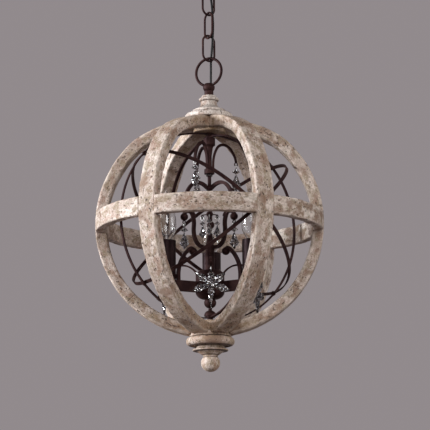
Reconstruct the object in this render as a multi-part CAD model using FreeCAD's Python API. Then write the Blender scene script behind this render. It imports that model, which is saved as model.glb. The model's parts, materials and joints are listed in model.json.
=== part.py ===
"""Wooden globe chandelier on a chain, one STEP file per piece.

The globe's pieces are built about the globe's centre. Every piece is lowered
at the end, so that the origin lies where the canopy meets the ceiling.
"""
import FreeCAD
import Part

import math
import os

V = FreeCAD.Vector
X_AXIS = V(1, 0, 0)
Y_AXIS = V(0, 1, 0)
Z_AXIS = V(0, 0, 1)
FULL_TURN = 360.0
HALF_TURN = 180.0
OVERRUN = 5.0            # how far a cutting body runs past what it cuts
STRAIGHT = 1e-5          # a turn smaller than this counts as straight
CORNER_SHARE = 1 - math.sqrt(0.5)    # a round corner's middle, from its sides

# Wooden globe
GLOBE_R = 200.0
CROWN_DROP = 9.5         # how far the flattened crown lies under a round one
SHOULDER_R = 120.0       # bend between the round side and the crown
SHOULDER_TURN = 45.0     # from the top, where the shoulder leaves the round side
RIB_COUNT = 6
RIB_WIDTH = 32.0
RIB_DEPTH = 19.5
RIB_ROUND = 2.5
RING_HEIGHT = 32.0
RING_DEPTH = 16.5
RING_ROUND = 2.0
LAP_DEPTH = 8.5          # how much of the rib runs in front of the ring
WOOD_FIT = 0.1           # gap in the glued joints
ROD_R = 3.2
ROD_FIT = 0.1

# Turned cap on the top of the globe
CAP_SEAT_DEPTH = 3.5     # from the crown's top down to the cap's flat seat
CAP_FOOT_R = 42.6
CAP_FOOT_H = 10.5
CAP_STEP_R = 30.0
CAP_STEP_H = 9.0
CAP_SHOULDER_R = 17.5
CAP_SHOULDER_H = 4.0
CAP_NECK_R = 14.6
CAP_NECK_H = 10.5
CAP_BEAD_R = 17.7
CAP_BEAD_H = 6.5
CAP_TOP_R = 12.5
CAP_TOP_H = 3.5
CAP_GROOVE = 1.4

# Turned finial under the globe
FINIAL_SEAT_DEPTH = 9.0
FINIAL_COLLAR_R = 36.0
FINIAL_COLLAR_H = 9.0
FINIAL_TORUS_R = 42.0
FINIAL_TORUS_H = 15.0
FINIAL_COVE_R = 24.5
FINIAL_COVE_H = 5.5
FINIAL_LIP_R = 31.0
FINIAL_LIP_H = 3.5
FINIAL_CONE_R = 24.0
FINIAL_CONE_END_R = 14.5
FINIAL_CONE_H = 6.5
FINIAL_NECK_R = 12.5
FINIAL_NECK_H = 4.0
FINIAL_BALL_R = 16.6
FINIAL_BALL_RISE = 10.0  # from the ball's widest place to its neck

# Wooden discs inside the globe at both poles
DISC_R = 29.0
DISC_H = 7.8
DISC_ROUND = 2.0

# Four iron hoops, nested one inside the other
UPRIGHT_1_LAYER, TILTED_1_LAYER, TILTED_2_LAYER, UPRIGHT_2_LAYER = range(4)
STRAP_WIDTH = 6.0
STRAP_THICK = 2.2
STRAP_GAP = 0.1
HOOP_EYE_R = 8.0
POLE_WASHER_R = 5.0
UPRIGHT_1_TURN = 120.0
UPRIGHT_2_TURN = 30.0
HOOP_TILT = 42.0
RIVET_R = 1.5
RIVET_HEAD_R = 3.0
RIVET_HEAD_H = 1.3

# Stem down the middle of the globe
COLUMN_COLLAR_R = 10.5
COLUMN_COLLAR_H = 12.5
COLUMN_SHOULDER_R = 6.3
COLUMN_R = 4.3
COLUMN_FLARE_H = 5.0
COLUMN_TAPER_H = 14.0
COLUMN_LENGTH = 43.6
HOOK_BOSS_R = 9.0
HOOK_BOSS_H = 8.0
STEM_BEAD_R = 6.0
STEM_BEAD_H = 5.0
SCROLL_COLLAR_Z = 60.0
SCROLL_COLLAR_R = 6.5
SCROLL_COLLAR_H = 8.0
CRYSTAL_COLLAR_Z = 14.0
CRYSTAL_COLLAR_R = 6.0
CRYSTAL_COLLAR_H = 7.0
BELL_TOP_Z = -18.0
BELL_TOP_R = 4.4
BELL_R = 8.0
BELL_H = 21.0
BELL_SWELL_SHARE = 0.3
HUB_TOP_Z = -84.0
HUB_R = 27.5
HUB_WAIST_R = 25.0
HUB_H = 49.0
HUB_ROUND = 5.0
HUB_FOOT_SHARES = (0.8, 0.6)
BALL_NUT_R = 10.5
BALL_NUT_TOP_R = 7.9
BALL_NUT_H = 15.8
DOME_NUT_R = 10.5
DOME_NUT_H = 10.0
DOME_NUT_SHARES = (0.86, 0.6)

# Forged straps of the stem: hooks, scrolls, candle arms and crystal hangers
ARM_COUNT = 3
ARM_TURN = 90.0          # where the first candle arm points
HOOK_TURN = 0.0
FORGED_WIDTH = 6.0
FORGED_THICK = 5.6
HOOK_WIDTH = 4.4
HOOK_THICK = 4.2
HOOK_REACH = 47.0
HOOK_RISE = 48.0
SCROLL_REACH = 46.0
SCROLL_RISE = 114.0
SCROLL_FOOT_Z = -42.0
CURL_REACH = 50.0
CURL_BALL_R = 6.8
LOWER_SCROLL_GAP = 7.0   # from a lower scroll's middle to the sleeve beside it
LOWER_SCROLL_RISE = 58.0
LOWER_BALL_R = 7.0
CANDLE_R = 85.0          # from the axis to a candle
ARM_HEIGHT = 19.0
ARM_THICK = 5.0
HANGER_REACH = 88.0
HANGER_TOP_Z = -86.0
HANGER_RISE = 16.0
HANGER_WIDTH = 4.0
HANGER_THICK = 3.0
HANGER_TURNS = (273.0, 22.0, 158.0)

# Candles
SLEEVE_R = 16.5
SLEEVE_WALL = 1.5
SLEEVE_LENGTH = 65.0
SLEEVE_FOOT_Z = -102.0
CUP_R = 19.5
CUP_WALL = 2.0
CUP_DEPTH = 5.0
SOCKET_R = 12.5
SOCKET_LENGTH = 59.0
SOCKET_FIT = 0.3
BASE_R = 7.0
BASE_LENGTH = 25.0
BULB_R = 17.5
BULB_LENGTH = 97.0
BULB_NECK_R = 7.5
BULB_WALL = 0.8

# Crystals
EYE_R = 2.8
EYE_WIRE_R = 0.9
JUMP_RING_R = 3.2
JUMP_WIRE_R = 0.8
CRYSTAL_GAP = 0.3        # between a crystal's jump ring and its eye
BEAD_R = 7.0
BEAD_H = 9.0
DROP_R = 9.0
DROP_LENGTH = 29.0
PIN_R = 0.6
PIN_LENGTH = 3.0
INNER_STRAND_R = 15.0
INNER_SCALE = 0.75
INNER_TURN = 30.0
GEM_SIDES = 8
BEAD_GIRDLE_SHARE = 0.5
BEAD_TABLE_SHARE = 0.35
DROP_GIRDLE_SHARE = 0.62
DROP_TABLE_SHARE = 0.2
DROP_DEPTH_SHARE = 0.7
LEAF_GIRDLE_SHARE = 0.6
LEAF_TABLE_SHARE = 0.3
STAR_DROP_GIRDLE_SHARE = 0.25
STAR_LEAVES = ((180.0, 0.6), (128.0, 0.95), (-128.0, 0.95), (72.0, 1.0), (-72.0, 1.0))
STAR_SPAN = 34.0
STAR_LEAF_R = 7.0
STAR_LEAF_DEPTH = 4.5
STAR_DROP_LENGTH = 44.0
STAR_DROP_R = 6.0
STAR_EYE_DROP = 27.0     # from the hook down to the middle of the star

# Loops, chain and ceiling canopy
NECK_R = 8.0
NECK_H = 9.0
KNOB_R = 10.5
KNOB_H = 14.0
LOOP_WIRE_R = 2.4
LOOP_OUTER_R = 27.5
LOOP_SINK = 6.0          # how deep the loop's foot stands in the knob
LOOP_TURN = -25.0
LINK_COUNT = 3
LINK_WIRE_R = 1.9
LINK_LENGTH = 50.6
LINK_WIDTH = 28.0
LINK_TURN = 35.0
CROSSING_TURN = -55.0
CHAIN_GAP = 0.3          # between one link's wire and the next
CANOPY_LOOP_R = 20.0
CANOPY_LOOP_COLLAR_R = 6.5
CANOPY_LOOP_COLLAR_H = 6.0
CANOPY_R = 62.0
CANOPY_DEPTH = 26.0
CANOPY_WALL = 1.6
CANOPY_EDGE_H = 4.0
CANOPY_TOP_FLAT_R = 16.0
CANOPY_BULGE_SHARES = (0.72, 0.30)
STUD_R = 4.8
CROSSBAR_LENGTH = 104.0
CROSSBAR_WIDTH = 18.0
CROSSBAR_THICK = 2.0
SCREW_SPACING = 88.9
SCREW_HOLE_R = 2.4
GROMMET_R = 5.0
GROMMET_H = 4.4

# Supply cord and earth wire, threaded through the chain
CORD_R = 2.0
EARTH_R = 0.8
EARTH_OFFSET = 3.0       # from the cord's middle to the earth wire's
EARTH_TURN = 65.0        # on which side of the cord the earth wire lies
CORD_STRAIGHT_H = 12.0   # how far the cord rises straight out of the knob
CORD_LEAN_H = 26.0       # over the knob, where it leans to the loop's side
CORD_HEAD_H = 16.0       # over the last link, where it turns to the canopy
CORD_BEND_SHARE = 0.45

# The crown's arc, which meets the shoulder's
SHOULDER_AT = V((GLOBE_R - SHOULDER_R) * math.sin(math.radians(SHOULDER_TURN)), 0,
                (GLOBE_R - SHOULDER_R) * math.cos(math.radians(SHOULDER_TURN)))
CROWN_TOP_Z = GLOBE_R - CROWN_DROP
CROWN_R = ((SHOULDER_R ** 2 - SHOULDER_AT.x ** 2 - (SHOULDER_AT.z - CROWN_TOP_Z) ** 2)
           / (2 * (SHOULDER_AT.z - CROWN_TOP_Z + SHOULDER_R)))
CROWN_AT = V(0, 0, CROWN_TOP_Z - CROWN_R)
CROWN_TURN = math.degrees(math.atan2(SHOULDER_AT.x, SHOULDER_AT.z - CROWN_AT.z))

# Heights that follow from the sizes above, from the globe's centre
CAP_SEAT_Z = CROWN_TOP_Z - CAP_SEAT_DEPTH
CAP_TOP_Z = (CAP_SEAT_Z + CAP_FOOT_H + CAP_STEP_H + CAP_SHOULDER_H + CAP_NECK_H
             + CAP_BEAD_H + CAP_TOP_H)
KNOB_Z = CAP_TOP_Z + NECK_H
KNOB_TOP_Z = KNOB_Z + KNOB_H
LOOP_R = LOOP_OUTER_R - LOOP_WIRE_R
LOOP_Z = KNOB_TOP_Z - LOOP_SINK + LOOP_OUTER_R
LINK_BEND_R = LINK_WIDTH / 2 - LINK_WIRE_R
LINK_SPAN = LINK_LENGTH - 2 * LINK_WIRE_R
FIRST_LINK_Z = LOOP_Z + LOOP_R - LOOP_WIRE_R - LINK_WIRE_R - CHAIN_GAP
LINK_PITCH = LINK_SPAN - 2 * LINK_WIRE_R - CHAIN_GAP
CHAIN_TOP_Z = FIRST_LINK_Z + (LINK_COUNT - 1) * LINK_PITCH + LINK_SPAN
CANOPY_LOOP_BEND_R = CANOPY_LOOP_R - LOOP_WIRE_R
CANOPY_LOOP_Z = CHAIN_TOP_Z - LINK_WIRE_R - LOOP_WIRE_R - CHAIN_GAP + CANOPY_LOOP_BEND_R
CANOPY_FOOT_Z = CANOPY_LOOP_Z + CANOPY_LOOP_BEND_R + CANOPY_LOOP_COLLAR_H
CEILING_Z = CANOPY_FOOT_Z + CANOPY_DEPTH
FINIAL_SEAT_Z = -GLOBE_R + FINIAL_SEAT_DEPTH
LAYER = STRAP_THICK + STRAP_GAP
RIB_INNER_R = GLOBE_R - RIB_DEPTH
HOOP_OUTER_Z = RIB_INNER_R - DISC_H
HOOP_R = HOOP_OUTER_Z - STRAP_GAP - STRAP_THICK / 2 - UPRIGHT_2_LAYER * LAYER
HOOP_INNER_R = HOOP_R - STRAP_THICK / 2
COLUMN_TOP_Z = CROWN_AT.z + math.sqrt((CROWN_R - GLOBE_R + HOOP_INNER_R) ** 2 - COLUMN_COLLAR_R ** 2)
DOME_NUT_Z = -math.sqrt(HOOP_INNER_R ** 2 - DOME_NUT_R ** 2)
HOOK_Z = COLUMN_TOP_Z - COLUMN_COLLAR_H - COLUMN_LENGTH - HOOK_BOSS_H / 2
HUB_FOOT_Z = HUB_TOP_Z - HUB_H
ARM_Z = SLEEVE_FOOT_Z - CUP_WALL - ARM_HEIGHT / 2
LOWER_SCROLL_REACH = CANDLE_R - SLEEVE_R - LOWER_SCROLL_GAP

# Route of the cord, each point from the chain's axis, rising from the knob
CORD_EXIT_X = 3.4
CORD_EXIT_Y = 4.2
CORD_ROUTE = (
    V(CORD_EXIT_X, CORD_EXIT_Y, KNOB_TOP_Z),
    V(CORD_EXIT_X, CORD_EXIT_Y, KNOB_TOP_Z + CORD_STRAIGHT_H),
    V(3.6, 7.4, KNOB_TOP_Z + CORD_LEAN_H),
    V(3.4, 9.4, FIRST_LINK_Z + EARTH_R),
    V(5.7, 4.0, FIRST_LINK_Z + LINK_SPAN / 2),
    V(7.4, -1.3, FIRST_LINK_Z + LINK_PITCH),
    V(8.6, -1.8, FIRST_LINK_Z + LINK_PITCH + LINK_SPAN / 2),
    V(7.4, -1.3, FIRST_LINK_Z + 2 * LINK_PITCH),
    V(5.7, 4.0, FIRST_LINK_Z + 2 * LINK_PITCH + LINK_SPAN / 2),
    V(3.0, 9.0, FIRST_LINK_Z + LINK_COUNT * LINK_PITCH - EARTH_R),
    V(2.6, 10.0, FIRST_LINK_Z + LINK_COUNT * LINK_PITCH + CORD_HEAD_H),
    V(2.6, 11.4, CANOPY_FOOT_Z),
)
CORD_END = CORD_ROUTE[-1]


def save(name, *solids):
    """Lower the solids from the globe's centre to the ceiling's origin and write them."""
    shape = solids[0] if len(solids) == 1 else Part.makeCompound(list(solids))
    shape = shape.copy()
    shape.translate(V(0, 0, -CEILING_Z))
    shape.exportStep(os.path.join("parts", name + ".step"))


def cylinder(radius, z_low, z_high):
    return Part.makeCylinder(radius, z_high - z_low, V(0, 0, z_low))


def turned_about(shape, degrees):
    result = shape.copy()
    result.rotate(V(0, 0, 0), Z_AXIS, degrees)
    return result


def outline(points):
    """Closed edges through (radius, height) points; a point marked True is the top of an arc."""
    edges = []
    here = points[0]
    pending = None
    for point in list(points[1:]) + [points[0]]:
        if len(point) == 3:
            pending = point
            continue
        start = V(here[0], 0, here[1])
        end = V(point[0], 0, point[1])
        if pending:
            edges.append(Part.Arc(start, V(pending[0], 0, pending[1]), end).toShape())
        else:
            edges.append(Part.LineSegment(start, end).toShape())
        pending = None
        here = point
    return Part.Face(Part.Wire(edges))


def turned(points):
    """A body turned about the vertical axis from (radius, height) points."""
    return outline(points).revolve(V(0, 0, 0), Z_AXIS, FULL_TURN)


def ring_of_wire(radius, wire_r):
    """A round ring in the upright plane that faces along Y."""
    return Part.makeTorus(radius, wire_r, V(0, 0, 0), Y_AXIS)


def rounded_section(r_low, r_high, width, rounding):
    """A rounded rectangle in the XZ plane, its middle at height zero."""
    half = width / 2
    corner = rounding * CORNER_SHARE
    return outline([
        (r_low + rounding, -half), (r_high - rounding, -half),
        (r_high - corner, -half + corner, True), (r_high, -half + rounding),
        (r_high, half - rounding), (r_high - corner, half - corner, True),
        (r_high - rounding, half), (r_low + rounding, half),
        (r_low + corner, half - corner, True), (r_low, half - rounding),
        (r_low, -half + rounding), (r_low + corner, -half + corner, True),
    ])


def smooth_stations(points):
    """Points and directions along a smooth line of arcs: each span is two arcs that meet midway."""
    guide = Part.BSplineCurve()
    guide.interpolate([V(x, 0, z) for x, z in points])
    knots = []
    for x, z in points:
        here = V(x, 0, z)
        knots.append((here, guide.tangent(guide.parameter(here))[0].normalize()))
    stations = [knots[0]]
    for (start, leave), (end, arrive) in zip(knots, knots[1:]):
        chord = end - start
        spread = leave + arrive
        bend = 2 * (1 - leave.dot(arrive))
        if bend > STRAIGHT:
            along = chord.dot(spread)
            reach = (math.sqrt(along ** 2 + bend * chord.dot(chord)) - along) / bend
        else:
            reach = chord.Length / 4
        first = start + leave * reach
        second = end - arrive * reach
        stations.append(((first + second) * 0.5, (second - first).normalize()))
        stations.append((end, arrive))
    return stations


def arc_side(stations, offset):
    """The arcs of a smooth line, all moved sideways by the same offset."""
    edges = []
    for (start, leave), (end, arrive) in zip(stations, stations[1:]):
        chord = V(end - start).normalize()
        bulge = leave - chord * leave.dot(chord)
        rise = (end - start).Length / 2 * math.tan(leave.getAngle(arrive) / 4)
        low = start + leave.cross(Y_AXIS) * offset
        high = end + arrive.cross(Y_AXIS) * offset
        if bulge.Length < STRAIGHT:
            edges.append(Part.LineSegment(low, high).toShape())
            continue
        middle = (start + end) * 0.5 + bulge.normalize() * rise + chord.cross(Y_AXIS) * offset
        edges.append(Part.Arc(low, middle, high).toShape())
    return edges


def bar(points, width, thick):
    """A flat bar bent in the XZ plane through (x, z) points, its width across that plane."""
    stations = smooth_stations(points)
    near = arc_side(stations, thick / 2)
    far = arc_side(stations, -thick / 2)
    caps = []
    for at, along in (stations[0], stations[-1]):
        across = along.cross(Y_AXIS) * (thick / 2)
        caps.append(Part.LineSegment(at - across, at + across).toShape())
    face = Part.Face(Part.Wire(Part.__sortEdges__(near + far + caps)))
    face.translate(V(0, -width / 2, 0))
    return face.extrude(V(0, width, 0))


def scaled(shares, reach, rise, x_low=0.0, z_low=0.0):
    """Points of a forged bar from shares of its reach and its rise."""
    return [(x_low + share_x * reach, z_low + share_z * rise) for share_x, share_z in shares]


def gem(length, radius, depth, girdle_share, tip_share=0.0):
    """A faceted drop from height zero down: a point or small table, a girdle and a point."""
    girdle_z = -length * girdle_share
    girdle = []
    table = []
    for side in range(GEM_SIDES):
        angle = 2 * math.pi * (side + 0.5) / GEM_SIDES
        girdle.append(V(radius * math.cos(angle), depth * math.sin(angle), girdle_z))
        table.append(V(radius * tip_share * math.cos(angle), depth * tip_share * math.sin(angle), 0))
    foot = V(0, 0, -length)
    faces = []
    for side in range(GEM_SIDES):
        following = (side + 1) % GEM_SIDES
        faces.append(flat_face([girdle[side], foot, girdle[following]]))
        if tip_share:
            faces.append(flat_face([table[side], girdle[side], girdle[following], table[following]]))
        else:
            faces.append(flat_face([V(0, 0, 0), girdle[side], girdle[following]]))
    if tip_share:
        faces.append(flat_face(table))
    return Part.Solid(Part.Shell(faces))


def flat_face(corners):
    return Part.Face(Part.makePolygon(corners + [corners[0]]))


# Wooden globe


def bent_half(section):
    """A section of the globe's side, swept from the bottom pole over the shoulder to the top."""
    section = section.copy()
    section.rotate(V(0, 0, 0), X_AXIS, HALF_TURN / 2)
    pieces = []
    for centre, radius, first, last in ((V(0, 0, 0), GLOBE_R, HALF_TURN, SHOULDER_TURN),
                                        (SHOULDER_AT, SHOULDER_R, SHOULDER_TURN, CROWN_TURN),
                                        (CROWN_AT, CROWN_R, CROWN_TURN, 0)):
        start = section.copy()
        start.translate(V(radius - GLOBE_R, 0, 0))
        start.rotate(V(0, 0, 0), Y_AXIS, first - HALF_TURN / 2)
        piece = start.revolve(V(0, 0, 0), Y_AXIS, last - first)
        piece.translate(centre)
        pieces.append(piece)
    return pieces[0].fuse(pieces[1:])


def globe_rib():
    """One rib along +X: a half hoop from pole to pole, mitred there and lapped on the ring."""
    rib = bent_half(rounded_section(RIB_INNER_R, GLOBE_R, RIB_WIDTH, RIB_ROUND))
    reach = GLOBE_R + OVERRUN
    half_angle = math.pi / RIB_COUNT
    tip = WOOD_FIT / 2 / math.sin(half_angle)
    side = reach * math.tan(half_angle)
    wedge = flat_face([V(tip, 0, -reach), V(tip + reach, -side, -reach), V(tip + reach, side, -reach)])
    rib = rib.common(wedge.extrude(V(0, 0, 2 * reach)))
    rib = rib.cut(cylinder(ROD_R + ROD_FIT, -reach, reach))
    rib = rib.cut(cylinder(CAP_FOOT_R + WOOD_FIT, CAP_SEAT_Z, reach))
    rib = rib.cut(cylinder(FINIAL_COLLAR_R + WOOD_FIT, -reach, FINIAL_SEAT_Z))
    rib = rib.cut(cylinder(DISC_R + WOOD_FIT, -RIB_INNER_R, RIB_INNER_R - CROWN_DROP))
    lap_r = GLOBE_R - LAP_DEPTH + WOOD_FIT
    notch = cylinder(lap_r, -RING_HEIGHT / 2 - WOOD_FIT, RING_HEIGHT / 2 + WOOD_FIT)
    return rib.cut(notch)


def equator_ring():
    """The level ring, notched outside where each rib runs in front of it."""
    section = rounded_section(GLOBE_R - RING_DEPTH, GLOBE_R, RING_HEIGHT, RING_ROUND)
    ring = section.revolve(V(0, 0, 0), Z_AXIS, FULL_TURN)
    notch_start = GLOBE_R - LAP_DEPTH
    notch_width = RIB_WIDTH + 2 * WOOD_FIT
    outer = cylinder(GLOBE_R + OVERRUN, -RING_HEIGHT, RING_HEIGHT)
    outer = outer.cut(cylinder(notch_start, -RING_HEIGHT, RING_HEIGHT))
    for rib in range(RIB_COUNT):
        slot = Part.makeBox(GLOBE_R, notch_width, 2 * RING_HEIGHT,
                            V(notch_start / 2, -notch_width / 2, -RING_HEIGHT))
        ring = ring.cut(turned_about(slot, FULL_TURN * rib / RIB_COUNT).common(outer))
    return ring


def top_cap():
    """The cap from its flat seat up: foot, step, shoulder, neck, bead and top."""
    z1 = CAP_SEAT_Z + CAP_FOOT_H
    z2 = z1 + CAP_STEP_H
    z3 = z2 + CAP_SHOULDER_H
    z4 = z3 + CAP_NECK_H
    z5 = z4 + CAP_BEAD_H
    hole = ROD_R + ROD_FIT
    return turned([
        (hole, CAP_SEAT_Z), (CAP_FOOT_R - CAP_GROOVE, CAP_SEAT_Z),
        (CAP_FOOT_R, (CAP_SEAT_Z + z1) / 2, True), (CAP_FOOT_R - 2 * CAP_GROOVE, z1),
        ((CAP_FOOT_R + CAP_STEP_R) / 2 - CAP_GROOVE, z1 + CAP_GROOVE, True),
        (CAP_STEP_R - CAP_GROOVE, z1 + CAP_GROOVE),
        (CAP_STEP_R, (z1 + CAP_GROOVE + z2) / 2, True), (CAP_STEP_R - 2 * CAP_GROOVE, z2 - CAP_GROOVE),
        (CAP_STEP_R - 3 * CAP_GROOVE, z2 - CAP_GROOVE),
        ((CAP_STEP_R + CAP_SHOULDER_R) / 2 - CAP_GROOVE, z2 + CAP_GROOVE / 2, True),
        (CAP_SHOULDER_R, z3), (CAP_NECK_R, (z3 + z4) / 2, True), (CAP_NECK_R + CAP_GROOVE / 2, z4),
        (CAP_BEAD_R, (z4 + z5) / 2, True), (CAP_TOP_R + CAP_GROOVE, z5),
        (CAP_TOP_R, CAP_TOP_Z), (hole, CAP_TOP_Z),
    ])


def bottom_finial():
    """The finial from its flat seat down: collar, torus, cove, lip, cone, neck and ball."""
    z1 = FINIAL_SEAT_Z - FINIAL_COLLAR_H
    z2 = z1 - FINIAL_TORUS_H
    z3 = z2 - FINIAL_COVE_H
    z4 = z3 - FINIAL_LIP_H
    z5 = z4 - FINIAL_CONE_H
    z6 = z5 - FINIAL_NECK_H
    ball_z = z6 - FINIAL_BALL_RISE
    bulge = FINIAL_BALL_R - FINIAL_NECK_R
    side_r = (FINIAL_BALL_RISE ** 2 + bulge ** 2) / (2 * bulge)
    lean = FINIAL_NECK_R / (side_r - bulge)
    end_r = side_r * lean
    end_z = ball_z - FINIAL_BALL_RISE * (1 - lean)
    end_turn = math.asin(FINIAL_NECK_R / end_r) / 2
    groove_r = FINIAL_COLLAR_R - 2 * CAP_GROOVE
    hole = ROD_R + ROD_FIT
    return turned([
        (hole, FINIAL_SEAT_Z), (FINIAL_COLLAR_R, FINIAL_SEAT_Z),
        (FINIAL_COLLAR_R, z1 + CAP_GROOVE), (groove_r, z1),
        (FINIAL_TORUS_R, (z1 + z2) / 2, True), (groove_r, z2),
        (FINIAL_COVE_R, (z2 + z3) / 2, True), (FINIAL_LIP_R - CAP_GROOVE, z3),
        (FINIAL_LIP_R, (z3 + z4) / 2, True), (FINIAL_LIP_R - CAP_GROOVE, z4),
        (FINIAL_CONE_R, z4), (FINIAL_CONE_END_R, z5),
        (FINIAL_NECK_R, (z5 + z6) / 2, True), (FINIAL_NECK_R, z6),
        (FINIAL_BALL_R, ball_z, True), (FINIAL_NECK_R, ball_z - FINIAL_BALL_RISE),
        (end_r * math.sin(end_turn), end_z - end_r * math.cos(end_turn), True), (0, end_z - end_r),
        (0, z5), (hole, z5),
    ])


def pole_disc(z_low, z_high):
    """A round-edged wooden disc between the hoops and the ribs."""
    corner = DISC_ROUND * CORNER_SHARE
    hole = ROD_R + ROD_FIT
    return turned([
        (hole, z_low), (DISC_R - DISC_ROUND, z_low), (DISC_R - corner, z_low + corner, True),
        (DISC_R, z_low + DISC_ROUND), (DISC_R, z_high - DISC_ROUND),
        (DISC_R - corner, z_high - corner, True), (DISC_R - DISC_ROUND, z_high), (hole, z_high),
    ])


# Iron hoops


def crossing_pins():
    """Where rivets join the straps: (turn, height angle, lowest layer, highest layer)."""
    pins = []
    for side, tilt in ((0, HOOP_TILT), (HALF_TURN, -HOOP_TILT)):
        pins.append((UPRIGHT_1_TURN + side, 0, UPRIGHT_1_LAYER, TILTED_2_LAYER))
        pins.append((UPRIGHT_2_TURN + side, tilt, TILTED_1_LAYER, UPRIGHT_2_LAYER))
        pins.append((UPRIGHT_2_TURN + side, -tilt, TILTED_2_LAYER, UPRIGHT_2_LAYER))
    return pins


def pointed_at(shape, turn, height_angle):
    """Turn a body built along +X to look along a direction from the centre."""
    result = shape.copy()
    result.rotate(V(0, 0, 0), Y_AXIS, -height_angle)
    result.rotate(V(0, 0, 0), Z_AXIS, turn)
    return result


def pin_along_x(radius, x_low, x_high):
    return Part.makeCylinder(radius, x_high - x_low, V(x_low, 0, 0), X_AXIS)


def strap_radii(layer):
    """Inside and outside of the strap in one layer."""
    middle = HOOP_R + layer * LAYER
    return middle - STRAP_THICK / 2, middle + STRAP_THICK / 2


def rivet_hole(layer, turn, height_angle):
    inner, outer = strap_radii(layer)
    hole = pin_along_x(RIVET_R + STRAP_GAP / 2, inner - OVERRUN, outer + OVERRUN)
    return pointed_at(hole, turn, height_angle)


def upright_hoop(layer, turn):
    """A strap bent parallel to the ribs, with eyes for the rod at the poles."""
    inner, outer = strap_radii(layer)
    edge = STRAP_WIDTH / 2
    side = bent_half(outline([(inner, -edge), (outer, -edge), (outer, edge), (inner, edge)]))
    ring = side.fuse(side.mirror(V(0, 0, 0), X_AXIS))
    for low in (inner - CROWN_DROP, -outer):
        ring = ring.fuse(cylinder(HOOP_EYE_R, low, low + STRAP_THICK))
        ring = ring.cut(cylinder(ROD_R + ROD_FIT, low - OVERRUN, low + STRAP_THICK + OVERRUN))
    ring.rotate(V(0, 0, 0), Z_AXIS, turn)
    for pin_turn, height_angle, low, high in crossing_pins():
        if pin_turn in (turn, turn + HALF_TURN):
            ring = ring.cut(rivet_hole(layer, pin_turn, height_angle))
    return ring


def tilted_hoop(layer, tilt):
    """A round strap that leans between the two upright ones."""
    inner, outer = strap_radii(layer)
    ring = Part.makeCylinder(outer, STRAP_WIDTH, V(0, 0, -STRAP_WIDTH / 2))
    ring = ring.cut(Part.makeCylinder(inner, 2 * STRAP_WIDTH, V(0, 0, -STRAP_WIDTH)))
    ring.rotate(V(0, 0, 0), Y_AXIS, -tilt)
    ring.rotate(V(0, 0, 0), Z_AXIS, UPRIGHT_2_TURN)
    for turn, height_angle, low, high in crossing_pins():
        if low <= layer <= high and height_angle in (0, tilt if turn == UPRIGHT_2_TURN else -tilt):
            ring = ring.cut(rivet_hole(layer, turn, height_angle))
    return ring


def rivet(low, high):
    """A rivet along +X through the straps of the layers from low to high."""
    inner = strap_radii(low)[0]
    outer = strap_radii(high)[1]
    seat = STRAP_GAP / 2
    body = pin_along_x(RIVET_R, inner - seat, outer + seat)
    body = body.fuse(pin_along_x(RIVET_HEAD_R, inner - seat - RIVET_HEAD_H, inner - seat))
    return body.fuse(pin_along_x(RIVET_HEAD_R, outer + seat, outer + seat + RIVET_HEAD_H))


def spacer(low, high):
    """The tube that fills an empty layer between two riveted straps."""
    inner = strap_radii(low)[1] + STRAP_GAP
    outer = strap_radii(high)[0] - STRAP_GAP
    return pin_along_x(RIVET_HEAD_R, inner, outer).cut(pin_along_x(RIVET_R + STRAP_GAP / 2, inner, outer))


def hoop_rivets():
    solids = []
    for turn, height_angle, low, high in crossing_pins():
        solids.append(pointed_at(rivet(low, high), turn, height_angle))
        if height_angle and high - low > 1:
            solids.append(pointed_at(spacer(low, high), turn, height_angle))
    return solids


def pole_spacers():
    """Washers on the rod between the two upright hoops, at the top and at the bottom."""
    low = strap_radii(UPRIGHT_1_LAYER)[1]
    high = strap_radii(UPRIGHT_2_LAYER)[0]
    crown_high = CROWN_AT.z + math.sqrt((CROWN_R - GLOBE_R + high) ** 2 - POLE_WASHER_R ** 2)
    foot = -math.sqrt(high ** 2 - POLE_WASHER_R ** 2)
    return [tube(POLE_WASHER_R, POLE_WASHER_R - ROD_R - ROD_FIT, z_low, z_high)
            for z_low, z_high in ((low - CROWN_DROP, crown_high), (foot, -low))]


# Stem


def upper_column():
    """The collar under the hoops, the tapered column and the boss that holds the hooks."""
    z0 = COLUMN_TOP_Z
    z1 = z0 - COLUMN_COLLAR_H
    z2 = z1 - COLUMN_FLARE_H
    z3 = z2 - COLUMN_TAPER_H
    z4 = z1 - COLUMN_LENGTH
    z5 = z4 - HOOK_BOSS_H
    hole = ROD_R + ROD_FIT
    bulge = (COLUMN_COLLAR_R - COLUMN_SHOULDER_R) / 4
    return turned([
        (hole, z0), (COLUMN_COLLAR_R, z0), (COLUMN_COLLAR_R, z1),
        (COLUMN_SHOULDER_R + bulge, (z1 + z2) / 2, True), (COLUMN_SHOULDER_R, z2), (COLUMN_R, z3),
        (COLUMN_R, z4), (HOOK_BOSS_R, z4), (HOOK_BOSS_R, z5), (hole, z5),
    ])


def stem_bead():
    """The clear glass bead under the hook boss."""
    high = HOOK_Z - HOOK_BOSS_H / 2
    low = high - STEM_BEAD_H
    hole = ROD_R + ROD_FIT
    return turned([
        (hole, high), ((STEM_BEAD_R + hole) / 2, high), (STEM_BEAD_R, (low + high) / 2, True),
        ((STEM_BEAD_R + hole) / 2, low), (hole, low),
    ])


def round_collar(z_low, height, radius):
    """A collar with a rounded edge on the rod."""
    hole = ROD_R + ROD_FIT
    edge = (radius - hole) / 2
    return turned([
        (hole, z_low), (radius - edge, z_low), (radius, z_low + height / 2, True),
        (radius - edge, z_low + height), (hole, z_low + height),
    ])


def scroll_collar():
    """The collar that the three upper scrolls grow from."""
    return round_collar(SCROLL_COLLAR_Z, SCROLL_COLLAR_H, SCROLL_COLLAR_R)


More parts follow.
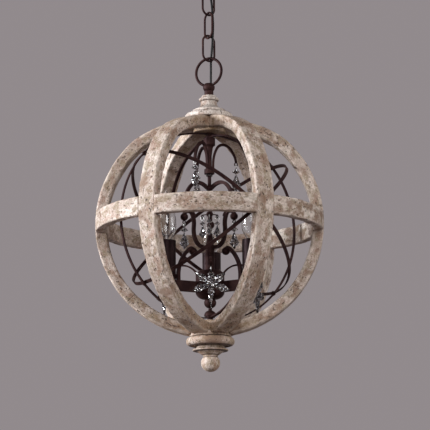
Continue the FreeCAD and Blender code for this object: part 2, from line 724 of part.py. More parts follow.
def crystal_collar():
    """The collar with three small arms and eyes for the inner crystals."""
    body = round_collar(CRYSTAL_COLLAR_Z, CRYSTAL_COLLAR_H, CRYSTAL_COLLAR_R)
    z = CRYSTAL_COLLAR_Z + CRYSTAL_COLLAR_H / 2
    hole_r = ROD_R + ROD_FIT
    arm = pin_along_x(EYE_WIRE_R, hole_r + EYE_WIRE_R, INNER_STRAND_R)
    arm.translate(V(0, 0, z))
    eye = hanging_eye(INNER_STRAND_R, z - EYE_R, X_AXIS)
    return body.fuse(three(arm, INNER_TURN) + three(eye, INNER_TURN))


def lower_column():
    """The bell that swells into the column over the hub."""
    z1 = BELL_TOP_Z - BELL_H
    hole = ROD_R + ROD_FIT
    return turned([
        (hole, BELL_TOP_Z), (BELL_TOP_R, BELL_TOP_Z),
        (BELL_TOP_R + (BELL_R - BELL_TOP_R) * BELL_SWELL_SHARE, (BELL_TOP_Z + z1) / 2, True), (BELL_R, z1),
        (BELL_R, HUB_TOP_Z), (hole, HUB_TOP_Z),
    ])


def hub():
    """The drum that carries the candle arms, with a waist and round edges."""
    hole = ROD_R + ROD_FIT
    mid = (HUB_TOP_Z + HUB_FOOT_Z) / 2
    return turned([
        (hole, HUB_TOP_Z), (HUB_WAIST_R - HUB_ROUND, HUB_TOP_Z), (HUB_WAIST_R, HUB_TOP_Z - HUB_ROUND),
        (HUB_WAIST_R, mid + HUB_ROUND), (HUB_R, mid, True), (HUB_WAIST_R, mid - HUB_ROUND),
        (HUB_WAIST_R, HUB_FOOT_Z + 2 * HUB_ROUND),
        (HUB_WAIST_R * HUB_FOOT_SHARES[0], HUB_FOOT_Z + HUB_ROUND * HUB_FOOT_SHARES[1], True),
        (BALL_NUT_R, HUB_FOOT_Z), (hole, HUB_FOOT_Z),
    ])


def ball_nut():
    """The ball under the hub, flat where it seats."""
    high = HUB_FOOT_Z
    low = high - BALL_NUT_H
    hole = ROD_R + ROD_FIT
    return turned([
        (hole, high), (BALL_NUT_TOP_R, high), (BALL_NUT_R, (low + high) / 2, True),
        (hole + WOOD_FIT, low), (hole, low),
    ])


def dome_nut():
    """The domed nut on the lowest hoop, inside the globe."""
    low = DOME_NUT_Z
    high = low + DOME_NUT_H
    hole = ROD_R + ROD_FIT
    return turned([
        (hole, low), (DOME_NUT_R, low),
        (DOME_NUT_R * DOME_NUT_SHARES[0], low + DOME_NUT_H * DOME_NUT_SHARES[1], True),
        (hole + WOOD_FIT, high), (hole, high),
    ])


def centre_rod():
    return cylinder(ROD_R, FINIAL_SEAT_Z - FINIAL_COLLAR_H - FINIAL_TORUS_H, KNOB_Z + KNOB_H / 2)


# Forged bars in the plane of +X


def three(shape, first_turn):
    return [turned_about(shape, first_turn + FULL_TURN * arm / ARM_COUNT) for arm in range(ARM_COUNT)]


HOOK_SHARES = ((0.0, 0.0), (0.0, 0.35), (0.10, 0.76), (0.34, 1.0), (0.62, 0.95), (0.83, 0.74), (0.95, 0.52),
               (1.0, 0.32))


def top_hook():
    """A wire that rises from the boss, turns over and ends in a small eye."""
    start = HOOK_BOSS_R - HOOK_THICK / 2
    points = scaled(HOOK_SHARES, HOOK_REACH - start, HOOK_RISE, start, HOOK_Z)
    body = bar(points, HOOK_WIDTH, HOOK_THICK).fuse(hanging_eye(HOOK_REACH, hook_eye_z(), Y_AXIS))
    return body.cut(cylinder(HOOK_BOSS_R, HOOK_Z - OVERRUN, HOOK_Z + OVERRUN))


SCROLL_SHARES = ((0.10, 0.930), (0.30, 0.985), (0.54, 1.0), (0.91, 0.877), (1.0, 0.737), (0.87, 0.588),
                 (0.70, 0.439), (0.67, 0.175), (0.48, 0.03), (0.17, 0.0))
CURL_SHARES = ((0.62, 0.46), (0.76, 0.53), (0.93, 0.52), (1.0, 0.44))


def upper_scroll():
    """The S scroll from the collar to the bell, with a branch that curls out to a ball."""
    reach = SCROLL_REACH
    main = bar(scaled(SCROLL_SHARES, reach, SCROLL_RISE, 0.0, SCROLL_FOOT_Z), FORGED_WIDTH, FORGED_THICK)
    tip = scaled(CURL_SHARES, CURL_REACH, SCROLL_RISE, 0.0, SCROLL_FOOT_Z)
    curl = bar(tip, FORGED_WIDTH, FORGED_THICK)
    ball = Part.makeSphere(CURL_BALL_R, V(tip[-1][0], 0, tip[-1][1]), Y_AXIS)
    body = main.fuse([curl, ball, hanging_eye(CURL_REACH, curl_eye_z(), Y_AXIS)])
    collar_top = SCROLL_COLLAR_Z + SCROLL_COLLAR_H
    body = body.cut(cylinder(SCROLL_COLLAR_R, SCROLL_COLLAR_Z - OVERRUN, collar_top + OVERRUN))
    return body.cut(cylinder(BELL_R, SCROLL_FOOT_Z - OVERRUN, SCROLL_FOOT_Z + OVERRUN))


LOWER_SHARES = ((1.0, 0.0), (1.0, 0.27), (0.95, 0.51), (0.86, 0.71), (0.73, 0.90), (0.61, 1.0), (0.53, 0.905))


def lower_scroll():
    """The C scroll that stands on the candle arm and curls in to a ball."""
    foot_z = ARM_Z + ARM_HEIGHT / 2
    points = scaled(LOWER_SHARES, LOWER_SCROLL_REACH, LOWER_SCROLL_RISE, 0.0, foot_z)
    ball = Part.makeSphere(LOWER_BALL_R, V(points[-1][0], 0, points[-1][1]), Y_AXIS)
    body = bar(points, FORGED_WIDTH, FORGED_THICK).fuse(ball)
    return body.cut(cylinder(LOWER_SCROLL_REACH + FORGED_THICK, foot_z - OVERRUN, foot_z))


def candle_arm():
    """The flat bar on edge from the hub to the candle."""
    start = HUB_WAIST_R - OVERRUN
    corner = V(start, -ARM_THICK / 2, ARM_Z - ARM_HEIGHT / 2)
    arm = Part.makeBox(CANDLE_R - start, ARM_THICK, ARM_HEIGHT, corner)
    tip = Part.makeCylinder(ARM_HEIGHT / 2, ARM_THICK, V(CANDLE_R, -ARM_THICK / 2, ARM_Z), Y_AXIS)
    return arm.fuse(tip).cut(hub_block())


def hub_block():
    """The hub's outside with its bore filled, to cut what butts against it."""
    return hub().fuse(cylinder(BALL_NUT_R, HUB_FOOT_Z, HUB_TOP_Z))


HANGER_SHARES = ((0.26, -0.3), (0.40, 0.62), (0.58, 1.0), (0.80, 0.80), (0.94, 0.22), (1.0, 0.0),
                 (1.06, 0.24))


def crystal_hanger():
    """A slender bar that rises from the hub and ends in a small hook."""
    points = scaled(HANGER_SHARES, HANGER_REACH, HANGER_RISE, 0.0, HANGER_TOP_Z)
    body = bar(points, HANGER_WIDTH, HANGER_THICK).fuse(hanging_eye(HANGER_REACH, hanger_eye_z(), X_AXIS))
    return body.cut(hub_block())


# Candles


def at_candle(shape):
    shape = shape.copy()
    shape.translate(V(CANDLE_R, 0, 0))
    return shape


def candle_cup():
    """The shallow cup that the sleeve stands in, slotted over the arm's rounded tip."""
    low = SLEEVE_FOOT_Z - CUP_WALL
    high = SLEEVE_FOOT_Z + CUP_DEPTH
    inner = SLEEVE_R + SOCKET_FIT
    return at_candle(turned([
        (0, low), (SLEEVE_R, low), (CUP_R, high), (CUP_R - CUP_WALL / 2, high),
        (inner, SLEEVE_FOOT_Z), (0, SLEEVE_FOOT_Z),
    ]))


def tube(radius, wall, z_low, z_high):
    return cylinder(radius, z_low, z_high).cut(cylinder(radius - wall, z_low - OVERRUN, z_high + OVERRUN))


def candle_sleeve():
    return at_candle(tube(SLEEVE_R, SLEEVE_WALL, SLEEVE_FOOT_Z, SLEEVE_FOOT_Z + SLEEVE_LENGTH))


def candle_socket():
    """The lamp socket inside the sleeve, closed at its foot."""
    high = SLEEVE_FOOT_Z + SOCKET_LENGTH
    body = cylinder(SOCKET_R, SLEEVE_FOOT_Z, high)
    inner_r = BASE_R + SOCKET_FIT
    return at_candle(body.cut(cylinder(inner_r, high - BASE_LENGTH, high + OVERRUN)))


def bulb_seat_z():
    return SLEEVE_FOOT_Z + SOCKET_LENGTH + SOCKET_FIT


def bulb_base():
    """The screw cap of the bulb, standing on the bottom of its socket."""
    low = SLEEVE_FOOT_Z + SOCKET_LENGTH - BASE_LENGTH + SOCKET_FIT / 3
    contact = BASE_R / 2
    return at_candle(turned([
        (0, low), (contact, low), (BASE_R, low + contact), (BASE_R, bulb_seat_z()), (0, bulb_seat_z()),
    ]))


BULB_SHARES = ((0.0, 0.0), (0.10, 0.08), (0.78, 0.20), (1.0, 0.34), (0.93, 0.50), (0.55, 0.74), (0.20, 0.92))


def bulb_profile(offset):
    """The bulb's outside, drawn in by the offset, from its neck to its tip."""
    neck = BULB_NECK_R - offset
    swell = BULB_R - BULB_NECK_R
    points = []
    for share_r, share_z in BULB_SHARES:
        radius = neck + share_r * swell
        if share_z > BULB_SHARES[3][1]:
            radius = share_r * (BULB_R - offset)
        points.append(V(radius, 0, bulb_seat_z() + share_z * BULB_LENGTH))
    points.append(V(0, 0, bulb_seat_z() + BULB_LENGTH - offset))
    curve = Part.BSplineCurve()
    curve.interpolate(points)
    return curve.toShape(), points


def bulb_body(offset):
    side, points = bulb_profile(offset)
    axis_foot = V(0, 0, points[0].z)
    wire = Part.Wire([Part.LineSegment(axis_foot, points[0]).toShape(), side,
                      Part.LineSegment(points[-1], axis_foot).toShape()])
    return Part.Face(wire).revolve(V(0, 0, 0), Z_AXIS, FULL_TURN)


def bulb_glass():
    """The clear candle bulb, a thin shell that is open where its base closes it."""
    return at_candle(bulb_body(0.0).cut(bulb_body(BULB_WALL)))


# Crystals


def hanging_eye(reach, z, axis):
    """A small eye of wire; the jump ring of a crystal passes through it."""
    return Part.makeTorus(EYE_R, EYE_WIRE_R, V(reach, 0, z), axis)


def pivot_below(eye_z):
    """Height of the middle of the jump ring that hangs in an eye."""
    return eye_z - EYE_R + EYE_WIRE_R + CRYSTAL_GAP + JUMP_WIRE_R - JUMP_RING_R


def jump_ring_and_eye(foot_z, axis):
    """The jump ring about height zero and the pin from it down into the glass."""
    ring = Part.makeTorus(JUMP_RING_R, JUMP_WIRE_R, V(0, 0, 0), axis)
    return ring.fuse(cylinder(PIN_R, foot_z, -JUMP_RING_R))


def pendant(scale, axis):
    """A bead and a pointed drop under a jump ring whose middle is at height zero."""
    bead_top = -JUMP_RING_R - JUMP_WIRE_R - PIN_LENGTH / 2
    bead = gem(BEAD_H * scale, BEAD_R * scale, BEAD_R * scale, BEAD_GIRDLE_SHARE, BEAD_TABLE_SHARE)
    bead.translate(V(0, 0, bead_top))
    drop_top = bead_top - BEAD_H * scale - PIN_LENGTH / 2
    drop = gem(DROP_LENGTH * scale, DROP_R * scale, DROP_R * scale * DROP_DEPTH_SHARE,
               DROP_GIRDLE_SHARE, DROP_TABLE_SHARE)
    drop.translate(V(0, 0, drop_top))
    return jump_ring_and_eye(drop_top - PIN_LENGTH, axis).fuse([bead, drop])


def star_cluster():
    """Leaves of glass round a middle, over one long drop; it spreads across the radius."""
    bead = gem(BEAD_H, BEAD_R, BEAD_R, BEAD_GIRDLE_SHARE, BEAD_TABLE_SHARE)
    bead.translate(V(0, 0, -JUMP_RING_R - JUMP_WIRE_R - PIN_LENGTH / 2))
    pieces = [bead]
    for angle, share in STAR_LEAVES:
        leaf = gem(STAR_SPAN * share, STAR_LEAF_DEPTH, STAR_LEAF_R, LEAF_GIRDLE_SHARE, LEAF_TABLE_SHARE)
        leaf.rotate(V(0, 0, 0), X_AXIS, angle)
        leaf.translate(V(0, 0, -STAR_EYE_DROP))
        pieces.append(leaf)
    drop = gem(STAR_DROP_LENGTH, STAR_LEAF_DEPTH, STAR_DROP_R, STAR_DROP_GIRDLE_SHARE, LEAF_TABLE_SHARE)
    drop.translate(V(0, 0, -STAR_EYE_DROP))
    return jump_ring_and_eye(-STAR_EYE_DROP, Y_AXIS).fuse(pieces + [drop])


def hook_eye_z():
    """Middle of the eye under a top hook's tip."""
    return HOOK_Z + HOOK_SHARES[-1][1] * HOOK_RISE - EYE_R


def curl_eye_z():
    """Middle of the eye under the ball of an upper scroll's curl."""
    return SCROLL_FOOT_Z + CURL_SHARES[-1][1] * SCROLL_RISE - CURL_BALL_R - EYE_R


def hanger_eye_z():
    """Middle of the eye under a crystal hanger's hook."""
    return HANGER_TOP_Z - HANGER_THICK / 2 - EYE_R


def hung(shape, reach, eye_z, turn, name):
    """Put a crystal under its eye, turn it to its place, write it and print its pivot."""
    shape = shape.copy()
    shape.translate(V(reach, 0, pivot_below(eye_z)))
    save(name, turned_about(shape, turn))
    place = turned_about(Part.Vertex(reach, 0, pivot_below(eye_z) - CEILING_Z), turn).Point
    print(name, [round(value, 3) for value in place])


def save_crystals():
    for number in range(ARM_COUNT):
        turn = FULL_TURN * number / ARM_COUNT
        place = "_%d" % (number + 1)
        hung(pendant(1.0, X_AXIS), HOOK_REACH, hook_eye_z(), HOOK_TURN + turn, "crystal_top" + place)
        hung(pendant(1.0, X_AXIS), CURL_REACH, curl_eye_z(), ARM_TURN + turn, "crystal_curl" + place)
        inner_eye_z = CRYSTAL_COLLAR_Z + CRYSTAL_COLLAR_H / 2 - EYE_R
        hung(pendant(INNER_SCALE, Y_AXIS), INNER_STRAND_R, inner_eye_z, INNER_TURN + turn,
             "crystal_inner" + place)
        hung(star_cluster(), HANGER_REACH, hanger_eye_z(), HANGER_TURNS[number], "crystal_star" + place)


# Loops, chain and canopy


def loop_knob():
    """The neck and the round knob that the fixture loop grows from."""
    hole = ROD_R + ROD_FIT
    edge = KNOB_R / 3
    return turned([
        (hole, CAP_TOP_Z), (NECK_R, CAP_TOP_Z), (NECK_R, KNOB_Z), (KNOB_R - edge, KNOB_Z),
        (KNOB_R, (KNOB_Z + KNOB_TOP_Z) / 2, True), (KNOB_R - edge, KNOB_TOP_Z), (0, KNOB_TOP_Z),
        (0, KNOB_Z + KNOB_H / 2), (hole, KNOB_Z + KNOB_H / 2),
    ])


def fixture_loop():
    ring = ring_of_wire(LOOP_R, LOOP_WIRE_R)
    ring.translate(V(0, 0, LOOP_Z))
    return turned_about(ring, LOOP_TURN).cut(cylinder(KNOB_R, KNOB_Z, KNOB_TOP_Z))


def chain_link(number):
    """One long link, from the globe's side up; the planes of the links take turns."""
    low = FIRST_LINK_Z + number * LINK_PITCH
    bend = Part.makeTorus(LINK_BEND_R, LINK_WIRE_R, V(0, 0, 0), Y_AXIS)
    upper_half = Part.makeBox(2 * LINK_WIDTH, 2 * LINK_WIDTH, LINK_WIDTH, V(-LINK_WIDTH, -LINK_WIDTH, 0))
    top = bend.common(upper_half)
    bottom = bend.cut(upper_half)
    z_low = low + LINK_BEND_R
    z_high = low + LINK_SPAN - LINK_BEND_R
    top.translate(V(0, 0, z_high))
    bottom.translate(V(0, 0, z_low))
    side = cylinder(LINK_WIRE_R, z_low, z_high)
    side.translate(V(LINK_BEND_R, 0, 0))
    link = top.fuse([bottom, side, turned_about(side, HALF_TURN)]).removeSplitter()
    return turned_about(link, LINK_TURN if number % 2 == 0 else CROSSING_TURN)


def canopy_loop():
    """The ring and threaded collar under the canopy that the chain hangs from."""
    ring = ring_of_wire(CANOPY_LOOP_BEND_R, LOOP_WIRE_R)
    ring.translate(V(0, 0, CANOPY_LOOP_Z))
    ring = turned_about(ring, CROSSING_TURN)
    collar = cylinder(CANOPY_LOOP_COLLAR_R, CANOPY_FOOT_Z - CANOPY_LOOP_COLLAR_H, CANOPY_FOOT_Z)
    return ring.fuse(collar)


def canopy_body(inset):
    """The canopy's outside, or the hollow inside it."""
    low = CANOPY_FOOT_Z + inset
    edge_z = CEILING_Z - CANOPY_EDGE_H
    radius = CANOPY_R - inset
    top = CEILING_Z if not inset else CEILING_Z + OVERRUN
    flat = CANOPY_TOP_FLAT_R - inset
    bulge_r = flat + (radius - flat) * CANOPY_BULGE_SHARES[0]
    bulge_z = low + (edge_z - low) * CANOPY_BULGE_SHARES[1]
    return turned([
        (0, low), (flat, low), (bulge_r, bulge_z, True), (radius, edge_z), (radius, top), (0, top),
    ])


def canopy():
    shell = canopy_body(0.0).cut(canopy_body(CANOPY_WALL))
    shell = shell.cut(cylinder(STUD_R + ROD_FIT, CANOPY_FOOT_Z - OVERRUN, CANOPY_FOOT_Z + CANOPY_DEPTH / 2))
    hole = Part.makeCylinder(GROMMET_R - CANOPY_WALL / 2, 2 * OVERRUN, grommet_place() - V(0, 0, OVERRUN))
    return shell.cut(hole)


def grommet_place():
    """Middle of the hole that takes the cord and the earth wire side by side."""
    return CORD_END + earth_side() * (EARTH_R / (CORD_R + EARTH_R))


def cord_grommet():
    """The bush that lines the cord's hole in the canopy."""
    place = grommet_place()
    flange = Part.makeCylinder(GROMMET_R, GROMMET_H / 4, place + V(0, 0, CANOPY_WALL))
    neck = Part.makeCylinder(GROMMET_R - CANOPY_WALL / 2 - WOOD_FIT, GROMMET_H / 2, place)
    bore = Part.makeCylinder(CORD_R + EARTH_R + WOOD_FIT, 2 * GROMMET_H, place - V(0, 0, GROMMET_H / 2))
    return flange.fuse(neck).cut(bore)


def canopy_stud():
    """The stud from the crossbar through the canopy into the loop's collar."""
    return cylinder(STUD_R, CANOPY_FOOT_Z, CEILING_Z)


def canopy_crossbar():
    bar_body = Part.makeBox(CROSSBAR_LENGTH, CROSSBAR_WIDTH, CROSSBAR_THICK,
                            V(-CROSSBAR_LENGTH / 2, -CROSSBAR_WIDTH / 2, CEILING_Z - CROSSBAR_THICK))
    bar_body = bar_body.cut(cylinder(STUD_R + ROD_FIT, CEILING_Z - OVERRUN, CEILING_Z + OVERRUN))
    for side in (-1, 1):
        hole = cylinder(SCREW_HOLE_R, CEILING_Z - OVERRUN, CEILING_Z + OVERRUN)
        hole.translate(V(side * SCREW_SPACING / 2, 0, 0))
        bar_body = bar_body.cut(hole)
    return bar_body


# Supply cord


def route_tube(points, radius, name):
    """A tube of straight runs joined by arcs as large as the runs allow."""
    edges = []
    here = points[0]
    radii = []
    for before, corner, after in zip(points, points[1:], points[2:]):
        into = corner - before
        out = after - corner
        half_turn = into.getAngle(out) / 2
        trim = CORD_BEND_SHARE * min(into.Length, out.Length)
        radii.append(trim / math.tan(half_turn))
        start = corner - V(into).normalize() * trim
        end = corner + V(out).normalize() * trim
        inward = (V(out).normalize() - V(into).normalize()).normalize()
        arc_r = radii[-1]
        middle = corner + inward * (arc_r / math.cos(half_turn) - arc_r)
        edges.append(Part.LineSegment(here, start).toShape())
        edges.append(Part.Arc(start, middle, end).toShape())
        here = end
    edges.append(Part.LineSegment(here, points[-1]).toShape())
    path = Part.Wire(edges)
    section = Part.Wire(Part.Circle(points[0], points[1] - points[0], radius).toShape())
    body = path.makePipeShell([section], True, False)
    print(name, "length", round(path.Length, 1), "least radius", round(min(radii), 1),
          "volume share", round(body.Volume / (math.pi * radius ** 2 * path.Length), 4))
    return body


def earth_side():
    """From the cord's middle to the earth wire's."""
    angle = math.radians(EARTH_TURN)
    return V(math.cos(angle), math.sin(angle), 0) * EARTH_OFFSET


def cord_slab(z_low, z_high):
    return Part.makeBox(2 * CANOPY_R, 2 * CANOPY_R, z_high - z_low, V(-CANOPY_R, -CANOPY_R, z_low))


def supply_cords():
    """The cord and its earth wire, cut at the middle of each link."""
    cord = route_tube(CORD_ROUTE, CORD_R, "supply cord")
    earth = route_tube([point + earth_side() for point in CORD_ROUTE], EARTH_R, "earth wire")
    cuts = [KNOB_TOP_Z - OVERRUN]
    cuts += [FIRST_LINK_Z + link * LINK_PITCH + LINK_SPAN / 2 for link in range(LINK_COUNT)]
    cuts.append(CANOPY_FOOT_Z + OVERRUN)
    for number, (low, high) in enumerate(zip(cuts, cuts[1:])):
        slab = cord_slab(low, high)
        save("supply_cord_%d" % (number + 1), cord.common(slab), earth.common(slab))


def save_globe():
    rib = globe_rib()
    for number in range(RIB_COUNT):
        save("rib_%d" % (number + 1), turned_about(rib, FULL_TURN * number / RIB_COUNT))
    save("equator_ring", equator_ring())
    save("top_cap", top_cap())
    save("bottom_finial", bottom_finial())
    save("top_disc", pole_disc(HOOP_OUTER_Z - CROWN_DROP, RIB_INNER_R - CROWN_DROP))
    save("bottom_disc", pole_disc(-RIB_INNER_R, -HOOP_OUTER_Z))
    save("hoop_upright_1", upright_hoop(UPRIGHT_1_LAYER, UPRIGHT_1_TURN))
    save("hoop_tilted_1", tilted_hoop(TILTED_1_LAYER, HOOP_TILT))
    save("hoop_tilted_2", tilted_hoop(TILTED_2_LAYER, -HOOP_TILT))
    save("hoop_upright_2", upright_hoop(UPRIGHT_2_LAYER, UPRIGHT_2_TURN))
    save("hoop_rivets", *hoop_rivets(), *pole_spacers())


def save_stem():
    save("centre_rod", centre_rod())
    save("upper_column", upper_column())
    save("stem_bead", stem_bead())
    save("stem_collars", scroll_collar(), crystal_collar())
    save("lower_column", lower_column())
    save("hub", hub())
    save("ball_nut", ball_nut())
    save("dome_nut", dome_nut())
    save("top_hooks", *three(top_hook(), HOOK_TURN))
    save("upper_scrolls", *three(upper_scroll(), ARM_TURN))
    save("lower_scrolls", *three(lower_scroll(), ARM_TURN))
    save("candle_arms", *three(candle_arm(), ARM_TURN))
    save("crystal_hangers", *[turned_about(crystal_hanger(), turn) for turn in HANGER_TURNS])


def save_candles():
    save("candle_cups", *three(candle_cup(), ARM_TURN))
    save("candle_sleeves", *three(candle_sleeve(), ARM_TURN))
    save("candle_sockets", *three(candle_socket(), ARM_TURN))
    save("bulb_bases", *three(bulb_base(), ARM_TURN))
    save("bulb_glasses", *three(bulb_glass(), ARM_TURN))


def save_hanging():
    save("canopy", canopy())
    save("canopy_crossbar", canopy_crossbar())
    save("canopy_stud", canopy_stud())
    save("canopy_loop", canopy_loop())
    save("cord_grommet", cord_grommet())
    for number in range(LINK_COUNT):
        save("chain_link_%d" % (number + 1), chain_link(number))
    save("fixture_loop", fixture_loop())
    save("loop_knob", loop_knob())


if __name__ == "__main__":
    os.makedirs("parts", exist_ok=True)
    save_globe()
    save_stem()
    save_candles()
    save_hanging()
    save_crystals()
    supply_cords()
    print("ceiling above the globe's centre", round(CEILING_Z, 2))
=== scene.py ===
"""Whitewashed wooden globe chandelier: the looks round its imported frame.

The globe's centre is the middle of the level ring. Everything is in metres,
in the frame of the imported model, whose origin lies at the ceiling.
"""
import json
import math

import bmesh
import bpy
import numpy as np
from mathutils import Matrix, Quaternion, Vector


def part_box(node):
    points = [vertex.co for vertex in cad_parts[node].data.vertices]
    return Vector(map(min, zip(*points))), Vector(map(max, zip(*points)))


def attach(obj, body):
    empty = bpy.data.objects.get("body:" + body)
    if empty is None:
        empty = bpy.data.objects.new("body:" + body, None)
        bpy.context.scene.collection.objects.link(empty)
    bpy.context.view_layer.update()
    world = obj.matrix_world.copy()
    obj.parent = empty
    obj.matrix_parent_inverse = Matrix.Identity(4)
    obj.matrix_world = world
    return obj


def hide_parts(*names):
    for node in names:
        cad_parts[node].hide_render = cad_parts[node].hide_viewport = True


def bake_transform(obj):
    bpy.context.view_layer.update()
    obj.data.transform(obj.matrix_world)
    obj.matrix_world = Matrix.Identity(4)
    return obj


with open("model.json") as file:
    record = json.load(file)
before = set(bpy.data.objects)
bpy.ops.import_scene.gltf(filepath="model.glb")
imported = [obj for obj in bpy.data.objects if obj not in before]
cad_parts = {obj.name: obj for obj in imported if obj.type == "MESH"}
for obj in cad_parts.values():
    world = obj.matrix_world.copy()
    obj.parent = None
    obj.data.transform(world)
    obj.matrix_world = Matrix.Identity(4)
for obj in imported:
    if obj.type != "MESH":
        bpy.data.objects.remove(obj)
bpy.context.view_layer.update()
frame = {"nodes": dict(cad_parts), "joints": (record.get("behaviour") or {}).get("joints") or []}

bl_info = {
    "name": "Wooden globe chandelier",
    "version": (1, 0, 0),
    "blender": (4, 5, 0),
    "location": "3D View > Sidebar > Chandelier",
    "description": "Dresses the frame of a wooden globe chandelier: wood, ironwork, candles, crystals and cord",
    "category": "Object",
}

NODES = frame["nodes"]
RING_LOW, RING_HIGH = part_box("equator_ring")
CENTRE = np.array((RING_LOW + RING_HIGH) / 2)
GLOBE_R = (RING_HIGH.x - RING_LOW.x) / 2
RIBS = 6
SIXTH = math.pi / 3
MM = 0.001
UP = np.array([0.0, 0.0, 1.0])

# Wooden bars: outline, section, laps, seats of the turned pieces (reach, level), joints' places as angles,
# the ring's mesh seam in halves of a notch, and steps of the mesh
SHOULDER_R = 120.0 * MM
CROWN_DROP = 9.5 * MM
BAR_HALF_WIDTH = 16.0 * MM
RIB_DEPTH = 19.5 * MM
RING_DEPTH = 16.5 * MM
RIB_LAP = 8.4 * MM
RING_LAP = 8.6 * MM
NOTCH_HALF = 16.1 * MM
POLE_HOLE = 0.1
CAP_SEAT = (42.6 * MM, 186.9 * MM)
FINIAL_SEAT = (36.1 * MM, -190.9 * MM)
RING_JOINTS = (math.radians(26.0), math.radians(146.0))
JOINTED_RIBS = (1, 2, 3)
RIB_JOINT = 2.3
RIB_JOINT_SWAY = 0.05
RIB_JOINT_TURN = 2.4
RING_SEAM = 1.5
BAR_STEP = 2.6 * MM / GLOBE_R
JOINT_REACH = 1.1 * MM / GLOBE_R
CUT_REACH = 2e-5

# Waves along a bar (count round the globe, height): its corners' chips, and its own bow with the bow's seed
CHIP_WAVES = ((3, 0.5), (8, 0.7), (25, 0.8), (74, 0.5))
BOW_WAVES = ((4, 0.12 * MM), (15, 0.08 * MM))
BOW_SEED = 71

# What the chips make of a corner's rounding and of its wear, where a highlight is also painted: mean, share of the
# waves, least and most
ROUNDING_CHIPS = (1.0, 0.38, 0.35, 2.3)
WEAR_AND_HIGHLIGHT_CHIPS = (0.45, 0.35, 0.0, 1.2)

# How far one bar's grain is shifted from the next bar's
GRAIN_APART = 3.1

# Heights of the turned pieces' grooves over the globe's centre, in millimetres
GROOVE_LEVELS = {
    "top_cap": (187.0, 197.5, 206.5, 210.5, 221.0, 227.5),
    "bottom_finial": (-191.0, -200.0, -215.0, -220.5, -224.0, -230.5, -234.5),
}
# A groove's half width and how far it turns to the dirt tone: dirt and painted shade in the grooves
GROOVE_HALF = 1.6 * MM
GROOVE_DIRT_AND_SHADE = 0.8

# Bars turn ochre by this share between two heights off the ring, and patchy from the middle to this far right
OCHRE_FROM, OCHRE_TO, OCHRE_SHARE = 0.135, 0.190, 0.45
PATCHY_TO = 0.12

# How chalky and how ochre each turned piece is
TURNED_TONES = {"top_cap": (0.7, 0.0), "bottom_finial": (0.0, 0.2)}
DISC_OCHRE = 0.6

# Noises of the weathered wood: features to the metre along the grain and across it, detail and roughness
WOOD_NOISES = {
    "broad": (16.0, 30.0, 4.0, 0.6),
    "streak": (24.0, 300.0, 3.0, 0.6),
    "brown": (260.0, 340.0, 3.0, 0.65),
    "fine": (480.0, 620.0, 3.0, 0.6),
    "mottle": (62.0, 80.0, 5.0, 0.62),
    "blush": (44.0, 70.0, 4.0, 0.6),
    "spot": (180.0, 290.0, 2.0, 0.6),
}

# Tones of the wood, the iron's sheen and the two wires; the wood's pale edge is partly a painted highlight, the earth
# wire's strands have painted shade and highlights
CREAM = (0.80, 0.67, 0.59, 1.0)
UMBER = (0.32, 0.235, 0.15, 1.0)
BLUSH = (0.37, 0.20, 0.145, 1.0)
OCHRE = (0.40, 0.24, 0.10, 1.0)
CHALK = (0.86, 0.77, 0.71, 1.0)
FLECK = (0.80, 0.68, 0.60, 1.0)
BROWN = (0.20, 0.125, 0.075, 1.0)
PALE_PATCH = (0.90, 0.80, 0.72, 1.0)
# Pale edge tone: partly rubbed wear, partly a painted highlight along the bars' corners
WORN_EDGE_AND_HIGHLIGHT = (0.82, 0.70, 0.61, 1.0)
IRON_SHEEN = (1.0, 0.62, 0.66, 1.0)
CORD_BLACK = (0.006, 0.005, 0.005, 1.0)
CORD_WORN = (0.018, 0.016, 0.016, 1.0)
# The earth wire's strands: painted shade and painted highlight
STRAND_PAINTED_SHADE = (0.30, 0.27, 0.24, 1.0)
STRAND_PAINTED_HIGHLIGHT = (0.56, 0.53, 0.49, 1.0)
BLACK = (0.0, 0.0, 0.0, 1.0)

# Cut glass: tone of the shaded facets, the step that picks them, and how far all facets tilt
SHADED_GLASS = (0.12, 0.11, 0.13, 1.0)
SHADED_STEP = (0.24, 0.34)
FACET_TILT = (1.7, 1.7, 1.7)

# Stage: the photograph's frame and the view's shift in it, the camera's sensor, and the floor with its fade
FRAME_PX = 430
VIEW_SHIFT_PX = (5.3, 9.0)
SENSOR_MM = 36.0
FLOOR_Z = -2.6
FLOOR_HALF = 40.0
FLOOR_FADE = (3.0, 6.0)
ROOM_LIGHT = (0.97, 0.98, 1.0, 1.0)

# Lamps, by the setting that holds their power: place from the globe's centre, size and tint
LAMPS = {
    "key": ((-2.95, -0.50, 0.45), 1.1, (0.90, 0.95, 1.0)),
    "front": ((0.4, -3.0, 0.7), 1.6, (1.0, 1.0, 1.0)),
    "fill": ((2.7, -0.9, 0.2), 2.0, (1.0, 1.0, 1.0)),
}

# Candles
CANDLE_TURNS = (math.pi / 2, math.pi * 7 / 6, math.pi * 11 / 6)
CANDLE_REACH = 85.0 * MM

# A bulb's glass mount: lift over the bulb's foot, height, and in millimetres its foot's radius, how much that
# narrows and the bulge, with the bulge's middle and width as shares of the height
MOUNT_LIFT = 0.2 * MM
MOUNT_HEIGHT = 27.0 * MM
MOUNT_FOOT, MOUNT_TAPER, MOUNT_BULGE = 4.6, 3.2, 0.8
BULGE_AT, BULGE_WIDTH = 0.95, 0.05

# A bulb's filament: half its span, radius, and in millimetres its ends' height over the bulb's foot and its rise
FILAMENT_HALF = 4.2 * MM
FILAMENT_R = 0.22 * MM
FILAMENT_LOW, FILAMENT_RISE = 25.0, 24.0

# The crystals' wire rings
JUMP_RING_R = 3.2 * MM
JUMP_WIRE_R = 0.86 * MM

